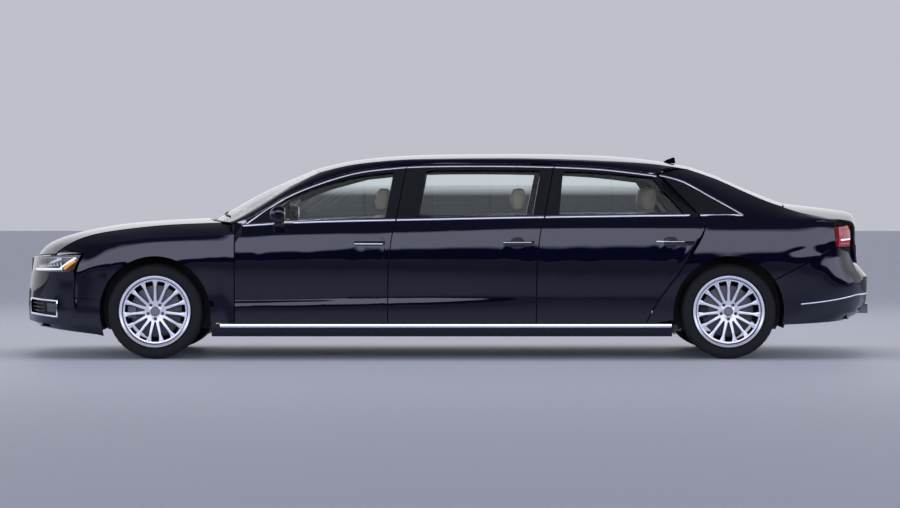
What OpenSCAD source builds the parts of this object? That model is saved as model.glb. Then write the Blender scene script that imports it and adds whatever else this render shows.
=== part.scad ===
// Six-door stretched saloon car. Front towards -X, car's left at -Y, up +Z, ground at z = 0.
// Millimetres. The origin is the middle of the length and width, on the ground.

/* [Overall] */
// Length over the bumpers
car_l = 6360; // [6000:10:6700]
// Width of the body without mirrors
body_w = 1948; // [1850:2:2050]
// Distance between the axles
wheelbase = 4220; // [4000:10:4500]
// Front bumper to front axle
front_overhang = 1030; // [980:5:1080]
// Height of the roof crown
roof_h = 1520; // [1480:2:1560]

/* [Body lines] */
// Lower edge of the sills
sill_z = 165; // [140:1:190]
// Upper edge of the sills, where the doors end
door_z = 262; // [245:1:280]
// Lower crease on the doors
crease_z = 440; // [410:2:470]
// Widest line of the sides
waist_z = 690; // [640:5:740]
// Shoulder crease at the front door's rear edge
shoulder_h = 957; // [930:1:980]
// Lower edge of the windows at the same place
belt_h = 1025; // [1005:1:1045]
// Upper edge of the windows at its highest
rail_h = 1440; // [1420:1:1456]
// Inward lean of the side windows
lean = 0.45; // [0.35:0.01:0.55]

/* [Doors] */
// Length of the front door below the window
front_door_l = 1126; // [1080:2:1170]
// Length of the middle door below the window
middle_door_l = 1093; // [1040:2:1140]
// Gap between panels
gap = 8; // [7:0.5:9]
// Thickness of the doors below the window
door_t = 70; // [60:1:80]
// Thickness of the window frames
frame_t = 34; // [28:1:40]
// Thickness of the panel edges
edge_t = 6; // [5:0.5:8]
// Thickness of the fixed panels
panel_t = 12; // [8:1:16]
// Thickness of the glass
glass_t = 5; // [4:0.5:6]

/* [Wheels] */
// Tyre radius
tyre_r = 350; // [340:1:356]
// Tyre width
tyre_w = 255; // [235:1:265]
// Rim flange radius
rim_r = 262; // [250:1:268]
// Wheel centre to the car's middle
wheel_y = 818; // [805:1:825]
// Number of spokes
spokes = 15; // [10:1:18]
// Number of wheel bolts
bolts = 5; // [4:1:6]
// Bolt circle diameter
pcd = 112; // [100:1:120]
// Radius of the wheel arches
arch_r = 410; // [400:1:418]

/* [Cabin] */
// Width of a seat
seat_w = 540; // [500:5:570]
// Seat centre to the car's middle
seat_y = 370; // [350:2:390]
// Height of the seat cushion
cushion_z = 560; // [530:2:590]

/* [Hidden] */
$fn = 48;
half_w = body_w / 2;
x_nose = -car_l / 2;
x_tail = car_l / 2;
xf = x_nose + front_overhang;
xr = xf + wheelbase;
axle_z = tyre_r;
mid_x = (xf + xr) / 2;
// Door seams at the sill
seam_a = xf + 585;
seam_b = seam_a + front_door_l;
seam_c = seam_b + middle_door_l;
seam_d = xr - 588;
nose_c = xf - 250;
tail_c = xr + 350;

// Columns of the line tables: place along x, height or inset there
shoulder_line = [
    [xf - 640, shoulder_h - 230], [xf - 503, shoulder_h - 178], [xf - 434, shoulder_h - 143],
    [xf - 297, shoulder_h - 101], [xf - 100, shoulder_h - 72], [xf + 156, shoulder_h - 57],
    [xf + 556, shoulder_h - 42], [xf + 974, shoulder_h - 22], [xf + 1950, shoulder_h],
    [xr - 1390, shoulder_h + 25], [xr + 224, shoulder_h + 25], [xr + 532, shoulder_h + 19],
    [xr + 860, shoulder_h + 2]];
belt_line = [
    [xf + 640, belt_h - 46], [xf + 974, belt_h - 25], [xf + 1363, belt_h - 12], [xf + 1950, belt_h],
    [xr - 1390, belt_h + 17], [xr + 103, belt_h + 33], [xr + 500, belt_h + 20], [xr + 900, belt_h - 40]];
top_line = [
    [xf + 640, rail_h - 448], [xf + 740, rail_h - 376], [xf + 945, rail_h - 241],
    [xf + 1201, rail_h - 132], [xf + 1460, rail_h - 55], [xf + 1670, rail_h - 24],
    [xf + 1948, rail_h - 4], [xr - 1680, rail_h], [xr - 1236, rail_h - 9], [xr - 940, rail_h - 24],
    [xr - 659, rail_h - 55], [xr - 503, rail_h - 78], [xr - 348, rail_h - 117],
    [xr - 281, rail_h - 148], [xr - 141, rail_h - 229], [xr - 37, rail_h - 288], [xr + 122, rail_h - 380]];
crease_line = [[xf + 560, crease_z - 10], [xf + 1950, crease_z + 8], [xr - 1200, crease_z + 20]];
ledge_line = [[xf + 560, 11], [xf + 1950, 7], [xr - 1300, 0], [xr - 900, 0]];
plan_line = [
    [xf - 500, 34], [xf, 18], [xf + 600, 8], [mid_x, 0], [xr - 600, 1], [xr, 12], [xr + 400, 28],
    [xr + 800, 52]];
// Columns: height, setback from the foremost or rearmost point
nose_line = [
    [150, 330], [200, 160], [222, 95], [245, 30], [275, 4], [330, 4], [405, 0], [537, 8], [660, 32],
    [730, 44], [780, 70], [840, 130]];
tail_line = [
    [200, 520], [237, 330], [282, 140], [344, 32], [421, 8], [511, 0], [600, 3], [630, 14], [660, 66],
    [690, 84], [778, 100], [889, 86], [1017, 104], [1090, 130]];

function lerp(a, b, t) = a + (b - a) * t;
function row_of(t, a, i = 0) = i >= len(t) - 2 || a <= t[i + 1][0] ? i : row_of(t, a, i + 1);
function rate(t, i, c) =
    let (a = max(i - 1, 0), b = min(i + 1, len(t) - 1)) (t[b][c] - t[a][c]) / (t[b][0] - t[a][0]);
// Smooth curve through column c of a table whose first column rises
function at(t, a, c = 1) =
    let (i = row_of(t, a),
        h = t[i + 1][0] - t[i][0],
        s = max(0, min(1, (a - t[i][0]) / h)),
        p = s * s * s,
        q = s * s)
    t[i][c] * (2 * p - 3 * q + 1) + rate(t, i, c) * h * (p - 2 * q + s)
        + t[i + 1][c] * (3 * q - 2 * p) + rate(t, i + 1, c) * h * (p - q);
function shoulder(x) = at(shoulder_line, x);
function belt(x) = max(at(belt_line, x), shoulder(x) + 46);
function top(x) = at(top_line, x);
function crease(x) = at(crease_line, x);
function waist(x) = min(waist_z, shoulder(x) - 110);
function nose(z) = x_nose + at(nose_line, z);
function tail(z) = x_tail - at(tail_line, z);

// Columns: height, inset of the side from its widest line
function section(x) =
    let (s = shoulder(x), c = crease(x), d = at(ledge_line, x))
    [[sill_z, 78], [sill_z + 40, 46], [door_z - 14, 29], [c - 26, 20], [c, 20 + d], [c + 30, 18 + d],
        [waist(x), 0], [s - 70, 12], [s - 9, 23], [s + 6, 31], [belt(x), 50]];
function end_factor(d, a, n) = let (t = max(0, min(1, d / a))) pow(max(0, 1 - pow(t, n)), 1 / n);
function ends(x, z) =
    x < nose_c ? end_factor(nose_c - x, nose_c - nose(z), 2.8)
    : x > tail_c ? end_factor(x - tail_c, tail(z) - tail_c, 3.2) : 1;
// Half width of the body at a place and height
function side(x, z) =
    let (b = belt(x), p = half_w - at(plan_line, x), e = z - b)
    ends(x, z) * (z <= b ? p - at(section(x), z) : p - 50 - lean * e - 0.0003 * e * e);

// Solid between an outer and an inner grid of points with the cells that keep allows
module shell(outer, inner, keep = function (i, j) true) {
    n = len(outer) - 1;
    m = len(outer[0]) - 1;
    w = m + 1;
    k = (n + 1) * w;
    on = function (i, j) i >= 0 && j >= 0 && i < n && j < m && keep(i, j);
    pts = concat([for (r = outer) for (p = r) p], [for (r = inner) for (p = r) p]);
    faces = [for (i = [0:n - 1]) for (j = [0:m - 1]) if (on(i, j))
        let (a = i * w + j, b = a + w, c = b + 1, d = a + 1)
        each concat(
            [[a, c, b], [a, d, c], [a + k, b + k, c + k], [a + k, c + k, d + k]],
            on(i - 1, j) ? [] : [[a, a + k, d], [d, a + k, d + k]],
            on(i + 1, j) ? [] : [[b, c, b + k], [c, c + k, b + k]],
            on(i, j - 1) ? [] : [[a, b, a + k], [b, b + k, a + k]],
            on(i, j + 1) ? [] : [[d, d + k, c], [c, d + k, c + k]])];
    polyhedron(pts, faces, convexity = 10);
}
// Points on the left side at a list of [x, z] places, moved in by d
function on_side(p, d = 0) = [p[0], -(side(p[0], p[1]) - d), p[1]];
module both() {
    children();
    mirror([0, 1, 0]) children();
}

// Rows between rails: rails[k] is a list of [x, z] places, steps[k] the rows from rail k to k + 1
function rows(rails, steps) = [for (i = [0:len(rails[0]) - 1])
    concat([for (k = [0:len(steps) - 1]) for (s = [0:steps[k] - 1])
        lerp(rails[k][i], rails[k + 1][i], s / steps[k])], [rails[len(steps)][i]])];
function spread(a, b, n) = [for (i = [0:n]) lerp(a, b, i / n)];

// Upper surfaces. Columns: centre x, centre z, edge x, edge half width, edge z
bonnet_rows = [
    [xf - 950, 758, xf - 756, 740, 772], [xf - 922, 804, xf - 706, 758, 812],
    [xf - 856, 852, xf - 640, 768, 852], [xf - 760, 892, xf - 556, 774, 890],
    [xf - 590, 939, xf - 430, 776, 926], [xf - 340, 985, xf - 220, 778, 957],
    [xf - 81, 1009, xf - 10, 778, 980], [xf + 125, 1022, xf + 182, 776, 993],
    [xf + 345, 1031, xf + 480, 772, 1003]];
screen_rows = [
    [xf + 398, 1021, xf + 541, 800, 1005], [xf + 590, 1140, xf + 690, 766, 1090],
    [xf + 804, 1257, xf + 836, 735, 1180], [xf + 1010, 1346, xf + 1010, 700, 1285],
    [xf + 1149, roof_h - 117.3, xf + 1199.8, 664, roof_h - 146.3]];
roof_rows = [
    [xf + 1150, roof_h - 117, xf + 1201, 664, roof_h - 146], [xf + 1369, roof_h - 62, xf + 1408, 655, roof_h - 93],
    [xf + 1604, roof_h - 30, xf + 1669, 650, roof_h - 61], [xf + 1943, roof_h - 7, xf + 1948, 650, roof_h - 45],
    [xr - 1730, roof_h, xr - 1679, 650, roof_h - 39], [xr - 1304, roof_h - 1, xr - 1304, 650, roof_h - 44],
    [xr - 908, roof_h - 11, xr - 937, 648, roof_h - 57], [xr - 619, roof_h - 34, xr - 600, 645, roof_h - 76],
    [xr - 400, roof_h - 65, xr - 430, 642, roof_h - 97], [xr - 230, roof_h - 99, xr - 285, 640, roof_h - 121]];
rear_rows = [
    [xr - 229, roof_h - 99.4, xr - 284, 640, roof_h - 121], [xr - 31, roof_h - 167, xr - 110, 660, roof_h - 180],
    [xr + 70, roof_h - 216, xr + 13, 682, roof_h - 232], [xr + 293, 1212, xr + 250, 732, 1178],
    [xr + 462, 1148, xr + 410, 764, 1122]];
boot_rows = [
    [xr + 470, 1144, xr + 418, 768, 1114], [xr + 628, 1126, xr + 540, 782, 1076],
    [xr + 795, 1106, xr + 756, 765, 1036], [xr + 930, 1088, xr + 880, 720, 1022],
    [xr + 985, 1074, xr + 935, 694, 1006], [xr + 998, 1040, xr + 958, 680, 970],
    [xr + 996, 900, xr + 962, 660, 880], [xr + 1008, 790, xr + 972, 640, 780], [xr + 1020, 700, xr + 984, 620, 700]];
// Point of an upper surface: u along the rows, v from -1 at the left edge to 1
function top_point(t, u, v) =
    let (i = min(floor(u), len(t) - 2), s = u - i,
        a = t[max(i - 1, 0)], b = t[i], c = t[i + 1], d = t[min(i + 2, len(t) - 1)],
        r = 0.5 * (2 * b + (c - a) * s + (2 * a - 5 * b + 4 * c - d) * s * s + (3 * b - a - 3 * c + d) * s * s * s),
        q = v * v)
    [lerp(r[0], r[2], pow(abs(v), 2.6)), r[3] * v, lerp(r[1], r[4], q)];
function top_grid(t, us, vs) = [for (u = us) [for (v = vs) top_point(t, u, v)]];
// The same grid moved in by d against its own normal
function inward(g, d) = [for (i = [0:len(g) - 1]) [for (j = [0:len(g[0]) - 1])
    let (n = len(g) - 1, m = len(g[0]) - 1,
        a = g[min(i + 1, n)][j] - g[max(i - 1, 0)][j], b = g[i][min(j + 1, m)] - g[i][max(j - 1, 0)],
        c = cross(a, b))
    g[i][j] - d * c / norm(c)]];
module top_panel(t, u0, u1, nu, v0, nv, d, keep = function (i, j) true) {
    g = top_grid(t, spread(u0, u1, nu), spread(-v0, v0, nv));
    shell(g, inward(g, d), keep);
}

paint = [0.10, 0.12, 0.24];
module bonnet() {
    color(paint) union() {
        top_panel(bonnet_rows, 0, 8, 14, 1, 12, panel_t);
        for (s = [-1, 1]) {
            translate([hood_x - 60, s * 584 - 12, hood_z - 14]) cube([74, 24, 62]);
            translate([hood_x, s > 0 ? 632 : -572, hood_z]) rotate([90, 0, 0]) cylinder(h = 60, r = 8);
        }
    }
}
module windscreen() { color([0.5, 0.6, 0.65, 0.5]) top_panel(screen_rows, 0.02, 4, 7, 1, 8, glass_t); }
module roof_panel() {
    color(paint) {
        top_panel(roof_rows, 0, 9, 16, 1, 8, 22);
        antenna();
    }
}
// Small fin aerial behind the roof
module antenna() {
    p = top_point(roof_rows, 8.2, 0);
    translate(p + [0, -9, 1]) rotate([-90, 0, 0]) linear_extrude(18)
        polygon([[-70, 0], [-40, -26], [16, -46], [30, -44], [36, 0]]);
}
module rear_window() {
    color([0.3, 0.35, 0.4, 0.5]) top_panel(rear_rows, 0, 3.96, 7, 1, 8, glass_t);
}
module boot_lid() {
    color(paint) union() {
        top_panel(boot_rows, 0, 8, 16, 0.995, 12, panel_t);
        for (s = [-1, 1]) {
            translate([lid_x, s * 480 + 10, lid_z]) rotate([90, 0, 0]) linear_extrude(20) polygon([[-16, 16], [16, 16],
                [42, -144], [208, -138], [216, 48], [244, 46], [240, -166], [16, -174], [-16, -10]]);
            translate([lid_x, s > 0 ? 536 : -472, lid_z]) rotate([90, 0, 0]) cylinder(h = 64, r = 8);
        }
    }
}

// Rear edge of the rear door. Columns: height, place along x
rear_edge = [
    [door_z, seam_d - 22], [353, seam_d + 22], [458, seam_d + 92], [560, seam_d + 170], [704, seam_d + 274],
    [840, seam_d + 362], [930, seam_d + 408], [shoulder_h + 25, seam_d + 414], [belt_h, seam_d + 368],
    [1363, seam_d + 73]];
// Lean of the seams between doors. Columns: height, place along x after the seam at the sill
seam_lean = [[door_z, 0], [610, 2], [760, 7], [900, 26], [1025, 62], [1430, 136]];
function seam(s, z) = s + at(seam_lean, z);
function door_zs(x) = [door_z + gap / 2, 330, crease(x) - 26, crease(x), crease(x) + 34, waist(x), shoulder(x) - 60,
    shoulder(x) - 9, shoulder(x) + 6, belt(x)];

// Side places of a door: columns from front to rear, rows from the sill to the window's upper edge
function door_x(f, r, s, z) = lerp(f(z), r(z), s);
function door_grid(f, r, ss, ts) = [for (s = ss)
    let (z0 = [for (z = door_zs(mid_x)) z])
    concat([for (k = [0:len(z0) - 1])
            let (x = door_x(f, r, s, z0[k])) [x, door_zs(x)[k]]],
        [for (t = ts)
            let (xb = door_x(f, r, s, belt_h), xt = door_x(f, r, s, 1430), x = lerp(xb, xt, t))
            [x, lerp(belt(xb), top(xt) - gap, t)]])];
// A door: f and r give its front and rear edges, w the columns where the window starts and ends
module door(f, r, ss, w) {
    ts = [0.05, 0.3, 0.6, 0.9, 1];
    g = door_grid(f, r, ss, ts);
    n = len(ss) - 1;
    m = len(g[0]) - 1;
    outer = [for (c = g) [for (p = c) on_side(p)]];
    depth = function (i, j)
        i <= 1 || i >= n - 1 || j <= 1 || j == m ? edge_t : j < 9 ? door_t : j == 9 ? 56 : frame_t;
    inner = [for (i = [0:n]) [for (j = [0:m]) on_side(g[i][j], depth(i, j))]];
    shell(outer, inner, function (i, j) !(i >= w[0] && i < w[1] && j >= 10 && j < 13));
}
module door_glass(f, r, ss, w) {
    e = 0.0006;
    s = concat([ss[w[0]] + e], [for (i = [w[0] + 1:w[1] - 1]) ss[i]], [ss[w[1]] - e]);
    full = door_grid(f, r, s, [0.052, 0.3, 0.6, 0.898]);
    g = [for (c = full) [for (j = [10:13]) c[j]]];
    shell([for (c = g) [for (p = c) on_side(p, 14)]], [for (c = g) [for (p = c) on_side(p, 14 + glass_t)]]);
}
// Door hinge axis after the door's front edge, in from the widest line
hinge_dx = 56;
hinge_in = 28;
hinge_zs = [640, 810];
function hinge_y(x) = -(half_w - at(plan_line, x) - hinge_in);
// Pin and arm of the two hinges on a door, and the eye that the body carries for each
module door_arms(x) {
    for (z = hinge_zs) {
        translate([x, hinge_y(x), z - 40]) cylinder(h = 80, r = 5);
        for (e = [-40, 26]) translate([x - 9, hinge_y(x) - 9, z + e]) cube([84, 30, 14]);
    }
}
module hinge_eyes(x) {
    for (z = hinge_zs) difference() {
        union() {
            translate([x, hinge_y(x), z - 24]) cylinder(h = 48, r = 8.5);
            translate([x - 8, hinge_y(x), z - 24]) cube([16, door_t + 22, 48]);
        }
        translate([x, hinge_y(x), z - 30]) cylinder(h = 60, r = 5.1);
    }
}
// Pull handle whose ends sink into the door
module handle(x) {
    xs = [x - 226, x - 206, x - 186, x - 150, x - 76, x - 40, x - 20, x];
    out = [8, 22, 30, 34, 34, 30, 22, 8];
    in = [-3, -3, 12, 16, 16, 12, -3, -3];
    zs = [838, 853, 868];
    shell([for (i = [0:7]) [for (k = [0:2]) on_side([xs[i], zs[k]], -(k == 1 ? out[i] : out[i] - 6))]],
        [for (i = [0:7]) [for (z = zs) on_side([xs[i], z], -in[i])]]);
}
module whole_door(f, r, ss, w) {
    union() {
        door(f, r, ss, w);
        door_arms(f(door_z) + hinge_dx);
        handle(r(850) - 30);
    }
}
f_front = function (z) seam_a + gap / 2 + max(0, min(54, (z - shoulder_h + 60) * 0.7));
r_front = function (z) seam(seam_b, z) - gap / 2;
f_middle = function (z) seam(seam_b, z) + gap / 2;
r_middle = function (z) seam(seam_c, z) - gap / 2;
f_rear = function (z) seam(seam_c, z) + gap / 2;
r_rear = function (z) at(rear_edge, z) - gap / 2;
// Column places as parts of a door's length
s_front = [0, 0.085, 0.11, 0.15, 0.22, 0.34, 0.47, 0.6, 0.73, 0.85, 0.93, 0.955, 0.975, 1];
s_middle = [0, 0.085, 0.11, 0.14, 0.24, 0.36, 0.48, 0.6, 0.72, 0.83, 0.92, 0.955, 0.975, 1];
s_rear = [0, 0.074, 0.083, 0.09, 0.2, 0.32, 0.44, 0.56, 0.68, 0.8, 0.92, 0.955, 0.975, 1];
module door_front_left() { color(paint) whole_door(f_front, r_front, s_front, [4, 10]); }
module door_front_right() { color(paint) mirror([0, 1, 0]) whole_door(f_front, r_front, s_front, [4, 10]); }
module door_middle_left() { color(paint) whole_door(f_middle, r_middle, s_middle, [3, 10]); }
module door_middle_right() { color(paint) mirror([0, 1, 0]) whole_door(f_middle, r_middle, s_middle, [3, 10]); }
module door_rear_left() { color(paint) whole_door(f_rear, r_rear, s_rear, [3, 10]); }
module door_rear_right() { color(paint) mirror([0, 1, 0]) whole_door(f_rear, r_rear, s_rear, [3, 10]); }
glass_c = [0.6, 0.7, 0.75, 0.4];
module glass_front_left() { color(glass_c) door_glass(f_front, r_front, s_front, [4, 10]); }
module glass_front_right() { color(glass_c) mirror([0, 1, 0]) door_glass(f_front, r_front, s_front, [4, 10]); }
module glass_middle_left() { color(glass_c) door_glass(f_middle, r_middle, s_middle, [3, 10]); }
module glass_middle_right() { color(glass_c) mirror([0, 1, 0]) door_glass(f_middle, r_middle, s_middle, [3, 10]); }
module glass_rear_left() { color(glass_c) door_glass(f_rear, r_rear, s_rear, [3, 10]); }
module glass_rear_right() { color(glass_c) mirror([0, 1, 0]) door_glass(f_rear, r_rear, s_rear, [3, 10]); }

// Wheel arch round an axle at x: angle a from the front, straight down below the axle
function arch(x, a) =
    a < 0 ? [x - arch_r, axle_z + a * 4.5]
    : a > 180 ? [x + arch_r, axle_z - (a - 180) * 4.5]
    : [x - arch_r * cos(a), axle_z + arch_r * sin(a)];

// Front fender: a band round the arch and a strip from the shoulder to the bonnet
module fender() {
    n1 = 4;
    n2 = 9;
    n3 = 5;
    head = [xf - 522, 776];
    front = concat([for (z = [448, 530, 628]) [front_wrap(-70.7, z)[0] + gap, z]], [[xf - 560, 705]]);
    xs = spread(xf - 522, seam_a - gap / 2, n2);
    crest = [for (x = xs) [x, x < xf - 510 ? head[1] : shoulder(x)]];
    back = [for (z = [760, 600, 440, door_z - 3.4]) [seam_a - gap / 2, z]];
    rim = concat(front, crest, back);
    n = len(rim) - 1;
    a0 = concat(spread(13, 35, 3), spread(42, 136, n2), [150, 164, 178, 198]);
    low = [for (i = [0:n]) let (p = arch(xf, a0[i])) [p[0], max(p[1], door_z - 3.4)]];
    g = rows([low, rim], [5]);
    m = 5;
    edge = [for (i = [0:n])
        let (k = max(0, min(n2, i - 4)), u = lerp(0.75, 7.93, k / n2), p = top_point(bonnet_rows, u, -1))
        [p[0], p[1] - gap, p[2] - 3]];
    up = function (i, t)
        let (a = on_side(rim[i]), b = edge[i], q = lerp(a, b, t)) [q[0], q[1], q[2] + 10 * sin(180 * t)];
    outer = [for (i = [0:n]) concat([for (p = g[i]) on_side(p)], [for (t = [0.33, 0.66, 1]) up(i, t)])];
    inner = [for (i = [0:n]) concat([for (p = g[i]) on_side(p, panel_t)],
        [for (t = [0.33, 0.66, 1]) let (q = up(i, t)) q + [0, panel_t * lerp(0.7, 0.1, t), -panel_t * 0.9]])];
    shell(outer, inner, function (i, j) j < m || (i >= 4 && i < 4 + n2));
}
module front_fenders() { color(paint) both() fender(); }

// Quarter panel: a band round the arch, then up to the boot, rear window and roof
module quarter() {
    n2 = 10;
    front = [for (z = [door_z - 3.4, 353, 458, 560, 704, 840, 930]) [at(rear_edge, z) + gap / 2, z]];
    xs = concat(spread(seam_d + 414 + gap / 2, xr + 112, 5), spread(xr + 260, xr + 788, 4));
    crest = [for (x = xs) [x, shoulder(x)]];
    back = [[xr + 793, 880], [xr + 800, 828]];
    rim = concat(front, crest, back);
    n = len(rim) - 1;
    a0 = concat([-14, 0, 16, 30, 45, 58, 67], spread(76, 138, n2), [141, 145]);
    low = [for (i = [0:n]) let (p = arch(xr, a0[i])) [p[0], max(p[1], door_z - 3.4)]];
    g = rows([low, rim], [5]);
    k0 = 7;
    k = function (i) max(0, min(n2, i - k0));
    // Upper rails: window's lower edge, its upper edge and the panel's upper edge
    lower = concat([for (i = [0:5]) let (x = lerp(seam_d + 368 + gap / 2, xr + 110, i / 5)) [x, belt(x)]],
        [for (x = [xr + 250, xr + 400, xr + 540, xr + 670, xr + 788]) [x, shoulder(x) + 30]]);
    pane = concat([for (i = [0:5]) let (x = lerp(seam_d + 73 + gap / 2, xr + 112, i / 5)) [x, top(x) - 6]],
        [for (x = [xr + 250, xr + 400, xr + 540, xr + 670, xr + 788]) [x, shoulder(x) + 44]]);
    brow = concat([for (i = [0:5]) top_point(rear_rows, lerp(0, 3.2, i / 5), -1)],
        [top_point(rear_rows, 3.9, -1)], [for (u = [0.9, 1.7, 2.5, 3.3]) top_point(boot_rows, u, -1)]);
    brow_in = [for (i = [0:n2]) brow[i] + [0, i > 5 ? -gap : -3, i > 5 ? -2 : 0]];
    mid = function (i, t) let (a = on_side(pane[i]), q = lerp(a, brow_in[i], t)) q + [0, -9 * sin(180 * t), 9 * sin(180 * t)];
    outer = [for (i = [0:n]) let (c = k(i)) concat([for (p = g[i]) on_side(p)],
        [on_side(lerp(rim[i], lower[c], 0.5)), on_side(lower[c]), on_side(lerp(lower[c], pane[c], 0.12)),
            on_side(lerp(lower[c], pane[c], 0.86)), on_side(pane[c]), mid(c, 0.35), mid(c, 0.7), brow_in[c]])];
    th = [0, 0, 0, 0, 0, 0, 0, 0, 0, 0, 0, 0.3, 0.6, 0.8];
    inner = [for (i = [0:n]) [for (j = [0:13]) outer[i][j] + panel_t * [0, 1 - th[j] * 0.8, -th[j]]]];
    shell(outer, inner, function (i, j)
        j < 5 || (i >= k0 && i < k0 + n2 && !(j == 7 && i > k0 && i < k0 + 4)));
}

// Roof rail with the windscreen pillar: from the doors' upper edge to the roof's edge
module rail() {
    us = spread(0, 1, 22);
    x0 = xf + 560;
    x1 = seam_d + 64;
    foot = [for (u = us) let (x = lerp(x0, x1, u), q = max(x, xf + 642)) [x, top(q) + 1]];
    brow = [for (u = us) let (x = lerp(x0, x1, u),
        e = x < xf + 1195
            ? top_point(screen_rows, min(4, 0.16 + 4 * pow((x - x0) / (xf + 1195 - x0), 0.95)), -1)
            : top_point(roof_rows, 9 * pow((x - xf - 1195) / (xr - 285 - xf - 1195), 1.02), -1)) e];
    outer = [for (i = [0:22]) let (a = on_side(foot[i]), b = brow[i] + [0, x0 + (x1 - x0) * us[i] < xf + 1230 ? -3 : -0.8, 0])
        [for (t = [0, 0.2, 0.55, 1]) lerp(a, b, t) + sin(180 * t) * [0, -9, 9]]];
    inner = [for (i = [0:22]) [for (j = [0:3])
        outer[i][j] + [0, lerp(26, -1, j / 3), lerp(-2, -24, j / 3)]]];
    shell(outer, inner);
}
// Corner between the fender, the front door and the windscreen pillar
module pillar_foot() {
    zs = [910, 930, 950, 970, 1000];
    g = [for (t = [0, 0.5, 1]) [for (z = zs) [lerp(seam_a - 2, f_front(z) - gap, t), z]]];
    shell([for (c = g) [for (q = c) on_side(q)]], [for (c = g) [for (q = c) on_side(q, panel_t)]]);
}
// Sill panel under the doors
module sill() {
    xs = spread(xf + arch_r + 4, xr - arch_r - 4, 14);
    zs = [sill_z, sill_z + 16, sill_z + 40, door_z - 30, door_z - 4];
    shell([for (x = xs) [for (z = zs) on_side([x, z])]], [for (x = xs) [for (z = zs) on_side([x, z], 50)]]);
}
module side_panels() {
    color(paint) both() {
        quarter();
        union() {
            rail();
            pillar_foot();
        }
        sill();
    }
}
// Bright strip along the sill
module sill_trims() {
    color([0.85, 0.85, 0.88]) both() {
        xs = spread(xf + arch_r + 70, xr - arch_r - 12, 14);
        zs = [door_z - 29, door_z - 17, door_z - 5];
        shell([for (x = xs) [for (z = zs) on_side([x, z], z == zs[1] ? -6 : -3)]],
            [for (x = xs) [for (z = zs) on_side([x, z], -0.1)]]);
    }
}
// Wrap round an end of the car: a from -90 at the left side over 0 at the middle to 90
function wrap(a, z, d, c, tip, n) =
    let (w = half_w - at(plan_line, c) - at(section(c), z) - d, l = abs(tip - c) - d, s = tip > c ? 1 : -1,
        ca = pow(max(0.0001, cos(a)), 2 / n), sa = sign(a) * pow(abs(sin(a)), 2 / n))
    [c + s * l * ca, w * sa, z];
function front_wrap(a, z, d = 0) = wrap(a, z, d, nose_c, nose(z), 2.8);
function rear_wrap(a, z, d = 0) = wrap(a, z, d, tail_c, tail(z), 3.2);
// Edge of a bumper along its wheel arch at height z: s is -1 in front of the front wheel, 1 behind the rear one
function arch_edge(x, s, z) =
    x + s * (z > axle_z ? sqrt(arch_r * arch_r - pow(z - axle_z, 2)) + 2 : arch_r + 2 - (axle_z - z) * 0.15);
// Point of a bumper: the outermost columns follow the wheel arch
function bumper_point(a, z, d, front) =
    let (q = on_side([arch_edge(front ? xf : xr, front ? -1 : 1, z), z], d))
    abs(a) > 88 ? [q[0], sign(a) * -q[1], q[2]] : front ? front_wrap(a, z, d) : rear_wrap(a, z, d);
function both_ways(half) = concat(half, [0], [for (i = [len(half) - 1:-1:0]) -half[i]]);
module front_bumper() {
    half = [-90, -78, -76, -74, -70.6, -70, -58, -47, -37, -28, -20, -13, -6];
    base = function (a) 232 - 66 * pow(min(86, abs(a)) / 86, 2);
    ts = [0, 0.1, 0.25, 0.38, 0.5, 0.75, 1];
    z_at = function (a, t) lerp(base(a), abs(a) > 70.3 ? 441.4 : 641.4, t);
    // Columns run from right to left so that the outer side faces forward
    as = [for (a = both_ways(half)) -a];
    outer = [for (a = as) [for (t = ts) bumper_point(a, z_at(a, t), 0, true)]];
    inner = [for (a = as) [for (t = ts) bumper_point(a, z_at(a, t), panel_t + 4, true)]];
    n = len(as) - 1;
    // Open for the grille in the middle and for an intake on each side
    color(paint) shell(outer, inner, function (i, j)
        let (k = min(i, n - 1 - i)) !(k >= 10 && j >= 1) && !(k >= 6 && k <= 8 && j >= 2 && j < 4));
}
module rear_bumper() {
    half = [-90, -86, -80, -73, -65, -57, -51, -45, -39, -37.4, -30, -20, -10];
    base = function (a) 252 + 30 * cos(a);
    ts = [0, 0.12, 0.3, 0.55, 0.78, 0.9, 1];
    // Upper edge at the sides runs 6 mm under the quarter panel
    p = arch(xr, 145);
    x_of = function (a) tail_c + (tail(700) - tail_c) * pow(max(0, cos(a)), 2 / 3.2);
    seam_z = function (a) abs(a) > 88 ? p[1] - 6 : lerp(p[1], 826, (x_of(a) - p[0]) / (xr + 804 - p[0])) - 6;
    z_at = function (a, t) lerp(base(a), abs(a) > 57.5 ? seam_z(a) : abs(a) > 38 ? 820.4 : 688, t);
    as = both_ways(half);
    outer = [for (a = as) [for (t = ts) bumper_point(a, z_at(a, t), 0, false)]];
    inner = [for (a = as) [for (t = ts) bumper_point(a, z_at(a, t), panel_t + 4, false)]];
    n = len(as) - 1;
    // Left open where the tailpipes come out
    color(paint) shell(outer, inner, function (i, j) let (k = min(i, n - 1 - i)) !((k == 10 || k == 11) && j < 2));
}
module quarter_glass() {
    xb = seam_d + 368 + gap / 2;
    xt = seam_d + 73 + gap / 2;
    g = [for (i = [1:4]) [for (t = [0.135, 0.5, 0.845])
        let (e = i == 1 ? 0.02 : i == 4 ? -0.02 : 0, s = (i + e) / 5,
            a = [lerp(xb, xr + 110, s), belt(lerp(xb, xr + 110, s))],
            b = [lerp(xt, xr + 112, s), top(lerp(xt, xr + 112, s)) - 6]) lerp(a, b, t)]];
    shell([for (c = g) [for (p = c) on_side(p, panel_t + 3.4)]],
        [for (c = g) [for (p = c) on_side(p, panel_t + 3.4 + glass_t)]]);
}
module quarter_windows() { color(glass_c) both() quarter_glass(); }

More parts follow.
